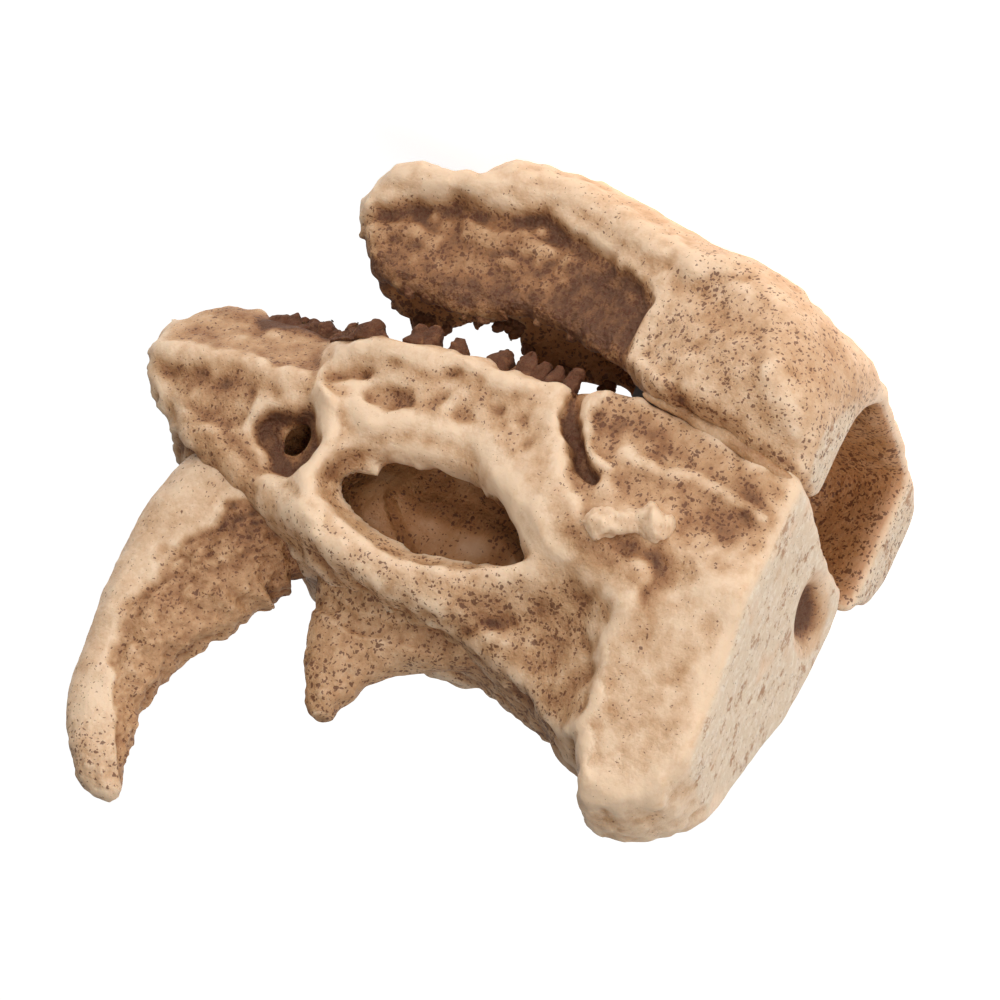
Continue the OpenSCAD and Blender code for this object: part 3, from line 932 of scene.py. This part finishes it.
def jawBody(x, y, z, step):
    # the jaw's outer shape, before it is hollowed
    px, pz = np.broadcast_arrays(x[:, 0, :], z[0])
    width = jawWidth(px, pz)[:, None, :]
    side = loopDistance(px, pz, jaw["outline"], 5)[:, None, :]
    # behind the cheek the far side stands up higher
    side = side - jaw["farHeel"] * softStep(8, 16, y) * softStep(16, 6, x) * softStep(-9, -5, z)
    # the far side hangs lower along its tooth edge: a plane that sinks with y
    farEdge = z - jaw["farTop"] + farDrop(x, y) - 18.0 * softStep(36, 26, x)
    side = np.maximum(side, farEdge) + roughOutline(x, y, z, 21.0)
    face = (np.abs(y - jawMiddle(x)) - width) / slopeOf(width, step)
    body = roundMax(side, face, jaw["edgeRound"])
    return body + 0.42 * lumps(x, y, z, 6.5, 3, 25.0) + 0.26 * lumps(x, y, z, 1.9, 2, 29.0)


def jawCavity(x, y, z, cut):
    # the hollow, open at the back between the two door planes, kept off the chamfer by a wall
    px, pz = np.broadcast_arrays(x[:, 0, :], z[0])
    side = loopDistance(px, pz, jaw["cavity"], 3)[:, None, :]
    across = np.abs(y - jawMiddle(x)) - innerWidth(jaw, x, z)
    cavity = roundMax(side, across, 5.0) + 0.4 * lumps(x, y, z, 4.0, 2, 31.0)
    doorNear, doorFar = jaw["backDoor"]
    cavity = roundMax(cavity, doorNear - 1.0 * x - y, 3.0)
    cavity = roundMax(cavity, y - doorFar - 0.4 * x, 3.0)
    cavity = roundMax(cavity, cut + jaw["chamferWall"], 3.0)
    # the grommet has to come out backwards, so its way stays open
    wayRadius, wayEnd = jaw["way"]
    return np.minimum(cavity, np.maximum(np.hypot(y, z - airHeight) - wayRadius, x - wayEnd))


def jawSaddle(x, y, z, body):
    # the upright wall that holds the grommet in its bore
    middle, halfThick, halfWide, top = jaw["saddle"]
    saddle = np.maximum(np.abs(x - middle) - halfThick, np.abs(y) - halfWide)
    saddle = np.maximum(saddle, np.maximum(z - top, body + 1.0))
    return np.maximum(saddle, jaw["saddleBore"] - np.hypot(y, z - airHeight))


def jawPaint(verts, near, wide, inside):
    # how dark each point is with wash and painted shade, how flecked it is, how much painted amber
    # glow it has, and where it is ground bare
    vx, vy, vz = verts.T
    flatFoot = 0.5 * softStep(0.3, 0.1, floorHeight(vx, vz))
    ground = np.maximum(softStep(0.35, 0.1, vx), flatFoot)
    recess = areaMask(vx, vz, smoothLine(jaw["recess"], 4, True), 2.4)
    # painted shade on the inner walls, strong at the back and fading to little in front
    insideShade = 0.20 - 0.16 * softStep(26, 34, vx)
    masks = {
        "hollows": near,
        "broad": wide,
        "blotches": lumps(vx, vy, vz, 6.0, 3, 35.0),
        # the long recess: brown wash and painted shade on this face turned away from the light,
        # darker still towards its upper back corner
        "recess": recess,
        "recessTop": recess * softStep(-24, -17, vz) * softStep(58, 36, vx),
        "toothEdge": softStep(-18.5, -15.5, vz) * softStep(30, 33, vx) * (1 - inside),
        # painted shade on the inner walls
        "inside": insideShade * inside * (1 - ground),
        "rear": softStep(27, 22, vx) * softStep(-26, -18, vz) * (1 - inside),
        "seam": ridgeMask(vx, vz, jaw["seam"], 2.0),
    }
    washAndShade = painted(jaw["washAndShade"], masks)
    fleckMasks = {"washAndShade": washAndShade, "rear": softStep(30, 24, vx), "recess": recess, "inside": inside}
    fleck = painted(jaw["fleck"], fleckMasks)
    # painted amber glow on the inner walls
    return {"washAndShade": washAndShade, "fleck": fleck, "ground": ground, "paintedGlow": inside * (1 - ground)}


def makeLowerJaw():
    print("lower jaw")
    step = gridStepOf(jaw)
    low = (-2.0, -32.0, -38.5)
    x, y, z = gridOf(low, (75.0, 36.0, 2.0), step)
    nx, ny, nz, reach = jaw["chamfer"]
    cut = nx * x + ny * y + nz * z - reach
    body = jawBody(x, y, z, step)
    cavity = jawCavity(x, y, z, cut)
    shell = roundMax(body, -cavity, 1.0)
    shell = roundMax(shell, cut + 0.8 * grain(x, y, z, 6.0, 37.0), 5.0)
    shell = roundMax(shell, -x, jaw["backRound"])
    shell = np.minimum(shell, jawSaddle(x, y, z, body))
    shell = np.maximum(shell, -floorHeight(x, z))
    verts, faces, near, wide = castSurface(shell, low, step)
    inside = wallMask(cavity, body, verts, low, step)
    return asMesh("lowerJaw", verts, faces, "castings", ["lower_jaw"],
                  jawPaint(verts, near, wide, inside), boneFinish)


makeLowerJaw()

noseHorn = {
    # (along, front x, front z, back x, back z, half thickness)
    "stations": [(0.0, 79, 11, 59, 19, 7.0), (0.10, 80.5, 15, 60.5, 23.5, 6.6),
                 (0.22, 82.5, 21, 62, 27.5, 5.9), (0.34, 83.3, 27.5, 65, 31.5, 5.3),
                 (0.46, 83.2, 34, 68.6, 36, 4.9), (0.58, 82.6, 40, 70.3, 41, 4.6),
                 (0.70, 82, 46, 71.2, 46, 4.2), (0.82, 80.6, 51.2, 71, 51, 3.8),
                 (0.92, 78, 55.6, 70.4, 55.2, 3.3), (0.98, 75.6, 58.6, 70, 58.2, 2.5),
                 (1.0, 73.6, 59.9, 70.8, 59.8, 1.2)],
    # along the horn, where the smooth cream band ends across it
    "band": [(0, -0.25), (0.12, 0.0), (0.26, 0.26), (0.48, 0.3), (0.62, 0.12), (0.75, -0.2),
             (0.88, -0.65), (1, -1.3)],
    "sink": 0.55,
    "grid": (230, 170),
    "quickGrid": (90, 70),
    "power": 0.85,
}


def hornRings(horn):
    # an oval from front edge to back edge at each station, filled out: cosine and sine to a power
    nu, nv = horn["grid"]
    power = horn["power"]
    table = smoothLine(horn["stations"], 8)
    u = np.linspace(0, 1, nu)
    columns = [np.interp(u, table[:, 0], table[:, k]) for k in range(1, 6)]
    frontX, frontZ, backX, backZ, thick = columns
    angle = np.linspace(0, 2 * math.pi, nv, endpoint=False)
    cosine = np.sign(np.cos(angle)) * np.abs(np.cos(angle)) ** power
    sine = np.sign(np.sin(angle)) * np.abs(np.sin(angle)) ** power
    middle = np.stack([(frontX + backX) / 2, frontX * 0, (frontZ + backZ) / 2], 1)
    reach = np.stack([(frontX - backX) / 2, frontX * 0, (frontZ - backZ) / 2], 1)
    side = np.stack([frontX * 0, thick, frontX * 0], 1)
    across = np.broadcast_to(cosine[None], (nu, nv))
    rings = middle[:, None] + reach[:, None] * across[..., None]
    rings = rings + side[:, None] * sine[None, :, None]
    return rings, np.broadcast_to(u[:, None], (nu, nv)), across, middle


def outwards(rings, middle):
    # unit steps away from the middle of each ring
    away = rings - middle[:, None]
    return away / np.maximum(np.linalg.norm(away, axis=2, keepdims=True), 1e-9)


def makeNoseHorn():
    print("nose horn")
    rings, u, across, middle = hornRings(noseHorn)
    px, py, pz = rings[..., 0], rings[..., 1], rings[..., 2]
    edge = np.interp(u, *np.array(noseHorn["band"]).T)
    edge = edge + 0.2 * grain(px, py * 0.3, pz, 5.0, 41.0) + 0.14 * grain(px, py, pz, 1.6, 42.0)
    rearPart = softStep(edge + 0.12, edge - 0.12, across)
    push = -noseHorn["sink"] * rearPart * softStep(0.0, 0.1, u) * softStep(1.0, 0.9, u)
    push = push + 0.5 * lumps(px, py, pz, 6.0, 2, 43.0) * (0.6 + 0.6 * rearPart)
    crust = 0.3 + 1.1 * rearPart + softStep(0.8, 1, u)
    push = push + 0.38 * lumps(px, py, pz, 1.9, 3, 45.0) * crust
    jag = softStep(-0.55, -0.95, across) * softStep(0.62, 0.4, u)
    push = push + 1.1 * jag * grain(px * 0 + u * 60, py * 0.4, pz * 0, 1.9, 46.0)
    rings = rings + outwards(rings, middle) * push[..., None]
    verts, quads, tris = sweep(rings)
    edges = edgesOf(quads, tris)
    near = hollowness(verts, quads, tris, edges, 8)
    flatU = np.append(u.ravel(), [0, 1])
    flatRear = np.append(rearPart.ravel(), [1, 0])
    washAndShade = 0.16 + 1.0 * near + flatRear * (0.36 + 0.26 * softStep(0.34, 0.12, flatU))
    washAndShade += 0.12 * softStep(0.75, 0.95, flatU) + 0.08 * lumps(*verts.T, 5.0, 3, 47.0)
    fleck = 0.15 + 0.9 * washAndShade + 0.25 * softStep(0.7, 0.95, flatU)
    attributes = {"washAndShade": washAndShade, "fleck": fleck, "ground": washAndShade * 0}
    return asMesh("noseHorn", verts, (quads, tris), "castings", ["nose_horn"],
                  attributes, hornFinish)


makeNoseHorn()

shortHorn = {
    "stations": [(0.0, 60, 20, 30, 24, 8.0), (0.15, 58.6, 23, 33, 27, 6.8),
                 (0.32, 57.4, 27, 38.5, 29.2, 5.4), (0.5, 56.4, 31, 43.5, 31.4, 4.2),
                 (0.66, 55.2, 34.4, 46, 33.8, 3.4), (0.82, 53.4, 37.6, 47.6, 36.6, 2.6),
                 (0.94, 51.8, 39.8, 48.8, 38.8, 1.9), (1.0, 50.6, 40.7, 49.4, 40.2, 0.9)],
    "crease": [(56, 27), (50, 29), (44, 28.5), (38, 27.5)],
    "grid": (130, 140),
    "quickGrid": (60, 60),
    "power": 0.9,
}


def makeShortHorn():
    print("short horn")
    rings, u, across, middle = hornRings(shortHorn)
    px, py, pz = rings[..., 0], rings[..., 1], rings[..., 2]
    push = 0.6 * lumps(px, py, pz, 5.0, 2, 51.0) + 0.34 * lumps(px, py, pz, 1.9, 2, 53.0)
    push = push - 1.0 * ridgeMask(px, pz, shortHorn["crease"], 1.6)
    rings = rings + outwards(rings, middle) * push[..., None]
    verts, quads, tris = sweep(rings)
    edges = edgesOf(quads, tris)
    near = hollowness(verts, quads, tris, edges, 8)
    flatU = np.append(u.ravel(), [0, 1])
    washAndShade = 0.42 + 1.1 * near + 0.16 * softStep(0.5, 0.1, flatU) + 0.12 * softStep(0.6, 1.0, flatU)
    washAndShade += 0.08 * lumps(*verts.T, 4.0, 3, 55.0)
    fleck = 0.45 + 0.9 * washAndShade
    attributes = {"washAndShade": washAndShade, "fleck": fleck, "ground": washAndShade * 0}
    return asMesh("shortHorn", verts, (quads, tris), "castings", ["short_horn"],
                  attributes, hornFinish)


makeShortHorn()

knob = {
    "path": [(23.5, 12.6), (21, 12), (17.5, 10.6), (14.5, 9.6), (12.3, 8.8)],
    "radii": [0.5, 1.9, 1.1, 2.1, 0.6],
    "grid": (60, 48),
    "standOff": 0.7,
    "capPower": 8,
    "squash": (-0.36, 1.0),
}
bead = {
    "path": [(1.5, -2.2), (6, -3.2), (12, -5.2), (18, -6.2), (24, -7.2)],
    "radii": [0.6, 0.9, 1.35, 1.0, 0.6],
    "grid": (110, 22),
    "standOff": -0.5,
    "capPower": 12,
    "squash": (0.2, 0.8),
}


def alongPath(facts):
    # places along the smooth side-view path, from one end to the other
    u = np.linspace(0, 1, facts["grid"][0])
    path = smoothLine(facts["path"], 8)
    place = np.linspace(0, 1, len(path))
    return u, np.interp(u, place, path[:, 0]), np.interp(u, place, path[:, 1])


def tubeRings(facts, u, cx, cz, radius, side):
    # rings of this radius, closed to round caps, set on the skull's side and squashed along x and y
    radius = radius * np.sqrt(np.clip(1 - (2 * u - 1) ** facts["capPower"], 0.02, 1))
    centreY = side * (skullWidth(cx, cz) + facts["standOff"])
    angle = np.linspace(0, 2 * math.pi, facts["grid"][1], endpoint=False)
    middle = np.stack([cx, centreY, cz], 1)
    squashX, squashY = facts["squash"]
    turn = np.stack([np.sin(angle) * squashX, np.cos(angle) * side * squashY, np.sin(angle)], 1)
    return middle[:, None] + radius[:, None, None] * turn[None], middle


def makeKnob(sideName, side):
    u, cx, cz = alongPath(knob)
    curve = smoothLine(np.array(knob["radii"])[:, None], 8)[:, 0]
    radius = np.interp(u, np.linspace(0, 1, len(curve)), curve)
    rings, middle = tubeRings(knob, u, cx, cz, radius, side)
    push = 0.6 * lumps(rings[..., 0], rings[..., 1], rings[..., 2], 1.7, 3, 61.0)
    verts, quads, tris = sweep(rings + outwards(rings, middle) * push[..., None])
    washAndShade = 0.10 + 1.2 * hollowness(verts, quads, tris, edgesOf(quads, tris), 6)
    attributes = {"washAndShade": washAndShade, "fleck": 0.1 + 0.5 * washAndShade, "ground": washAndShade * 0}
    return asMesh("cheekKnob_" + sideName, verts, (quads, tris), "castings",
                  ["cheek_knob_" + sideName], attributes, boneFinish)


def makeBead(sideName, side):
    u, cx, cz = alongPath(bead)
    cz = cz + 0.3 * grain(cx, 0, 0, 3.0, 71.0 + side)
    radius = np.interp(u, np.linspace(0, 1, len(bead["radii"])), bead["radii"])
    radius = radius * (1 + 0.25 * grain(cx, 0, 0, 2.2, 72.0 + side))
    verts, quads, tris = sweep(tubeRings(bead, u, cx, cz, radius, side)[0])
    washAndShade = 0.42 + 0.25 * grain(*verts.T, 3.0, 75.0)
    attributes = {"washAndShade": washAndShade, "fleck": washAndShade * 0.3, "ground": washAndShade * 0}
    return asMesh("glueBead_" + sideName, verts, (quads, tris), "castings",
                  ["glue_bead_" + sideName], attributes, bondFinish)


for sideName, side in (("right", -1), ("left", 1)):
    makeKnob(sideName, side)
    makeBead(sideName, side)

teeth = {
    # soak is how much darker the hollows are; below zero it darkens the ridges
    "upper": {"crust": (60.5, 76.5, 26),  # from, to, how many
              "stumps": [55.5, 53.4, 49.6, 44.2, 40.6, 38.6, 36.0, 33.6],
              "edge": [(30, -6.4), (36, -5.8), (48, -5.8), (59, -5.4), (66, -5.2), (74, -6.6),
                       (81, -6.6)],
              "direction": -1, "washAndShade": 1.0, "soak": 1.2, "seed": 5, "tallShare": 1.0,
              "radiusShare": 1.0},
    "lower": {"crust": (48.5, 65.0, 6),
              "stumps": [60.5, 52.6, 50.4, 43.0, 38.0],
              "edge": [(34, -13.5), (39, -14.6), (46, -15.6), (51, -13.2), (57, -13.8),
                       (62, -14.2), (67, -16.4)],
              "direction": 1, "washAndShade": 0.5, "soak": -1.2, "seed": 9, "tallShare": 0.4,
              "radiusShare": 0.75},
    # least and most, in mm
    "stumpRadius": (1.25, 1.75),
    "crustRadius": (1.1, 1.9),
    "stumpTall": (2.4, 3.6),
    "crustTall": (0.8, 2.4),
    "root": 1.3,
    "grid": (16, 18),
}


def makeTeeth(row, sideName, side):
    # each stump is a rounded cone: radius falls from its root, then closes over the tip
    facts = teeth[row]
    random = np.random.RandomState(facts["seed"] + (side + 1))
    low, high, count = facts["crust"]
    crustX = np.linspace(low, high, count) + random.uniform(-0.4, 0.4, count)
    stumpX = np.array(facts["stumps"]) + random.uniform(-0.25, 0.25, len(facts["stumps"]))
    x = np.concatenate([crustX, stumpX])
    isStump = np.arange(len(x)) >= count
    stumpRadius = random.uniform(*teeth["stumpRadius"], len(x))
    radius = np.where(isStump, stumpRadius, random.uniform(*teeth["crustRadius"], len(x)))
    stumpTall = random.uniform(*teeth["stumpTall"], len(x))
    tall = np.where(isStump, stumpTall, random.uniform(*teeth["crustTall"], len(x)))
    radius = radius * facts["radiusShare"]
    tall = tall * facts["tallShare"]
    edge = np.array(facts["edge"])
    z = np.interp(x, edge[:, 0], edge[:, 1])
    if row == "upper":
        y = side * (skullWidth(x, z) - 2.2 + random.uniform(-0.8, 0.8, len(x)))
    else:
        y = jawMiddle(x) + side * (jawWidth(x, z) - 1.8 + random.uniform(-0.4, 0.4, len(x)))
        z = np.minimum(z, -13.0 - farDrop(x, y)) if side > 0 else z
    nu, nv = teeth["grid"]
    u = np.linspace(0, 1, nu)[None, :, None]
    v = np.linspace(0, 2 * math.pi, nv, endpoint=False)[None, None, :]
    profile = np.sqrt(np.clip(1 - u ** 3.2, 0.0005, 1)) * (1 - 0.25 * u)
    r = radius[:, None, None] * profile
    px = x[:, None, None] + r * np.cos(v) * 1.1
    py = y[:, None, None] + r * np.sin(v) + 0 * u
    root = teeth["root"]
    rise = u * (tall[:, None, None] + root) - root
    pz = z[:, None, None] + facts["direction"] * rise + 0 * v
    push = 0.6 * lumps(px, py, pz, 1.4, 3, 81.0)
    px = px + push * np.cos(v)
    py = py + push * np.sin(v)
    pz = pz + facts["direction"] * 0.3 * grain(px, py, pz, 1.1, 85.0) * softStep(0.3, 1, u)
    parts = []
    offset = 0
    for k in range(len(x)):
        verts, quads, tris = sweep(np.stack([px[k], py[k], pz[k]], -1))
        parts.append((verts, quads + offset, tris + offset))
        offset += len(verts)
    verts = np.concatenate([p[0] for p in parts])
    quads = np.concatenate([p[1] for p in parts])
    tris = np.concatenate([p[2] for p in parts])
    near = hollowness(verts, quads, tris, edgesOf(quads, tris), 3)
    washAndShade = facts["washAndShade"] + facts["soak"] * near + 0.18 * grain(*verts.T, 2.0, 87.0)
    attributes = {"washAndShade": washAndShade, "fleck": washAndShade * 0 + 0.85, "ground": washAndShade * 0}
    name = row + "Teeth_" + sideName
    return asMesh(name, verts, (quads, tris), "castings",
                  [row + "_teeth_" + sideName], attributes, toothFinish)


print("teeth")
for row in ("upper", "lower"):
    for sideName, side in (("right", -1), ("left", 1)):
        makeTeeth(row, sideName, side)

# the air set: places along its axis from the flat back, and radii, in mm
airSet = {
    "spigotTip": 6.45,
    "spigotBack": 7.45,
    "lipBack": 11.45,
    "lipFront": 12.95,
    "plugFront": 17.0,
    "stoneBack": 18.0,
    "stemFront": 23.0,
    "stoneFront": 30.0,
    "lip": 7.0,
    "plug": 5.95,
    "stem": 2.6,
    "spigot": 2.3,
    "bore": 1.2,
    "stone": 5.0,
    "pores": 0.32,
}


def revolve(profile, nv):
    # each point (x, radius) of a closed profile goes once round the air axis
    line = np.array(profile, float)
    angle = np.linspace(0, 2 * math.pi, nv, endpoint=False)
    x = line[:, :1] + 0 * angle
    y = line[:, 1:] * np.cos(angle)
    z = line[:, 1:] * np.sin(angle) + airHeight
    return np.stack([x, y, z], -1)


def bevelled(corners, cut):
    # each corner of a closed profile becomes two points, set back by cut
    p = np.array(corners, float)
    before = np.roll(p, 1, axis=0)
    after = np.roll(p, -1, axis=0)
    toBefore = (before - p) / np.linalg.norm(before - p, axis=1, keepdims=True)
    toAfter = (after - p) / np.linalg.norm(after - p, axis=1, keepdims=True)
    third = p + (toBefore + toAfter) * cut * 0.3
    return np.stack([p + toBefore * cut, third, p + toAfter * cut], 1).reshape(-1, 2)


def closedRevolve(name, corners, cut, nv, nodes, material, roughen=0.0):
    profile = bevelled(corners, cut)
    if roughen:
        profile = np.concatenate([profile, profile[:1]])
        lengths = np.linalg.norm(np.diff(profile, axis=0), axis=1)
        at = np.concatenate([[0], np.cumsum(lengths)])
        fine = np.linspace(0, at[-1], 150, endpoint=False)
        profile = np.stack([np.interp(fine, at, profile[:, k]) for k in range(2)], 1)
    rings = revolve(profile, nv)
    if roughen:
        px, py, pz = rings[..., 0], rings[..., 1], rings[..., 2]
        radial = np.stack([px * 0, py, pz - airHeight], -1)
        radial = radial / np.maximum(np.linalg.norm(radial, axis=2, keepdims=True), 1e-9)
        outer = softStep(3.0, 4.0, np.hypot(py, pz - airHeight))
        push = roughen * lumps(px, py, pz, 0.9, 2, 91.0) * outer - roughen * 0.5
        rings = rings + radial * push[..., None]
    nu, nv = rings.shape[:2]
    verts = rings.reshape(-1, 3)
    u, v = np.meshgrid(np.arange(nu), np.arange(nv), indexing="ij")
    nextU = (u + 1) % nu
    nextV = (v + 1) % nv
    quads = np.stack([u * nv + v, u * nv + nextV, nextU * nv + nextV, nextU * nv + v], -1)
    faces = turnedOut(verts, quads.reshape(-1, 4), np.zeros((0, 3), int))
    return asMesh(name, verts, faces, "air_set", nodes, {}, material)


def plainFinish(name, facts):
    # even material broken up by noise in colour, roughness and bump
    material, board, shader, place = newMaterial(name)
    cloud = board.noise(place, facts["scale"], 4.0, 0.6)
    colour = mixColour(board, cloud, facts["colour"], facts["cloud"])
    board.link(colour, shader.inputs["Base Color"])
    uneven = board.math("MULTIPLY", cloud, 0.2)
    rough = board.math("ADD", uneven, facts["roughness"], clamp=True)
    board.link(rough, shader.inputs["Roughness"])
    bump = board.node("ShaderNodeBump")
    bump.inputs["Strength"].default_value = 0.4
    bump.inputs["Distance"].default_value = facts["bumpDepth"]
    board.link(board.noise(place, facts["scale"] * 4, 3.0, 0.6), bump.inputs["Height"])
    board.link(bump.outputs["Normal"], shader.inputs["Normal"])
    shader.inputs["Subsurface Weight"].default_value = facts["clear"]
    shader.inputs["Subsurface Scale"].default_value = 0.001
    return material


airFinishes = {
    "grommetRubber": {"colour": tone(38, 37, 36), "cloud": tone(58, 56, 53), "roughness": 0.62,
                      "scale": 500.0, "bumpDepth": 0.0001, "clear": 0.0},
    "stemPlastic": {"colour": tone(225, 228, 226), "cloud": tone(205, 210, 208), "roughness": 0.22,
                    "scale": 300.0, "bumpDepth": 0.00003, "clear": 0.3},
    "stoneGrit": {"colour": tone(96, 108, 118), "cloud": tone(150, 158, 162), "roughness": 0.85,
                  "scale": 1500.0, "bumpDepth": 0.0003, "clear": 0.0},
}

print("air set")
finish = {name: plainFinish(name, facts) for name, facts in airFinishes.items()}
a = airSet
closedRevolve("rubberGrommet",
              [(a["lipBack"], a["stem"]), (a["lipBack"], a["lip"]),
               (a["lipFront"], a["lip"]), (a["lipFront"], a["plug"]),
               (a["plugFront"], a["plug"]), (a["plugFront"], a["stem"])],
              0.25, 72, ["grommet"], finish["grommetRubber"])
closedRevolve("airStem",
              [(a["spigotTip"], a["bore"]), (a["spigotTip"], 1.8), (a["spigotBack"], a["spigot"]),
               (a["lipBack"], a["spigot"]), (a["lipBack"], a["stem"]),
               (a["stemFront"], a["stem"]), (a["stemFront"], a["bore"])],
              0.12, 64, ["air_stem"], finish["stemPlastic"])
closedRevolve("airStone",
              [(a["stoneBack"], a["stem"]), (a["stoneBack"], a["stone"]),
               (a["stoneFront"] - 1.5, a["stone"]), (a["stoneFront"], 3.5),
               (a["stoneFront"], 0.02), (a["stemFront"], 0.02), (a["stemFront"], a["stem"])],
              0.01, 110, ["air_stone"], finish["stoneGrit"], a["pores"])

studio = {
    "floorWhite": tone(250, 250, 249),
    "floorCloud": tone(246, 246, 246),
    "floorGlow": 0.75,
    "worldLight": 0.24,
    "azimuth": -18.5,
    "elevation": 19.5,
    "roll": 155.0,
    "distance": 1.6,
    "viewWidth": 0.125,
    "centre": (41.0, 0.0, 5.6),
    # way to the lamp as shares of the camera's right, up and back, then distance, size and power
    "lamps": {
        "key": ((-0.25, 0.75, 0.8), 0.6, 0.35, 1.0),
        "front": ((0.1, -0.15, 1.0), 1.2, 0.3, 3.4),
        "low": ((0.2, -0.9, 0.7), 1.0, 0.4, 2.2),
    },
}


def makeFloor():
    bpy.ops.mesh.primitive_plane_add(size=4.0, location=(0, 0, 0))
    floor = bpy.context.object
    floor.name = "studioFloor"
    material, board, shader, place = newMaterial("studioWhite")
    cloud = board.noise(place, 3.0, 2.0, 0.5)
    white = mixColour(board, cloud, studio["floorWhite"], studio["floorCloud"])
    board.link(white, shader.inputs["Base Color"])
    shader.inputs["Roughness"].default_value = 0.9
    shader.inputs["Emission Color"].default_value = (1, 1, 1, 1)
    shader.inputs["Emission Strength"].default_value = studio["floorGlow"]
    floor.data.materials.append(material)
    floor.visible_shadow = False


def skullVector(v):
    return Vector(v[0] * skullX + v[1] * rowY + v[2] * skullZ)


def cameraAxes():
    # right, up and towards the camera, turned by azimuth, elevation and roll in skull axes
    a, e, r = (math.radians(studio[k]) for k in ("azimuth", "elevation", "roll"))
    right = np.array([math.cos(a), math.sin(a), 0.0])
    up = np.array([-math.sin(a) * math.sin(e), math.cos(a) * math.sin(e), math.cos(e)])
    back = np.array([math.sin(a) * math.cos(e), -math.cos(a) * math.cos(e), math.sin(e)])
    turnedRight = right * math.cos(r) - up * math.sin(r)
    turnedUp = right * math.sin(r) + up * math.cos(r)
    return skullVector(turnedRight), skullVector(turnedUp), skullVector(back)


def makeCamera():
    right, up, back = cameraAxes()
    target = Vector(toRow(np.array([studio["centre"]]))[0])
    data = bpy.data.cameras.new("camera")
    camera = bpy.data.objects.new("camera", data)
    bpy.context.scene.collection.objects.link(camera)
    turn = Matrix((right, up, back)).transposed().to_4x4()
    camera.matrix_world = Matrix.Translation(target + back * studio["distance"]) @ turn
    data.sensor_width = 36.0
    data.lens = 36.0 * studio["distance"] / studio["viewWidth"]
    data.clip_start = 0.01
    bpy.context.scene.camera = camera
    return target


def makeLamp(name, target, axes, facts):
    shares, distance, size, power = facts
    data = bpy.data.lights.new(name, "AREA")
    data.size = size
    data.energy = power
    lamp = bpy.data.objects.new(name, data)
    bpy.context.scene.collection.objects.link(lamp)
    way = sum((axis * share for axis, share in zip(axes, shares)), Vector()).normalized()
    lamp.location = target + way * distance
    lamp.rotation_euler = (-way).to_track_quat("-Z", "Y").to_euler()


def makeWorld():
    world = bpy.data.worlds.new("studio")
    bpy.context.scene.world = world
    world.use_nodes = True
    background = world.node_tree.nodes["Background"]
    background.inputs[0].default_value = (1, 1, 1, 1)
    background.inputs[1].default_value = studio["worldLight"]


print("stage")
makeFloor()
target = makeCamera()
for name, facts in studio["lamps"].items():
    makeLamp(name, target, cameraAxes(), facts)
makeWorld()
bpy.context.scene.view_settings.view_transform = "Standard"
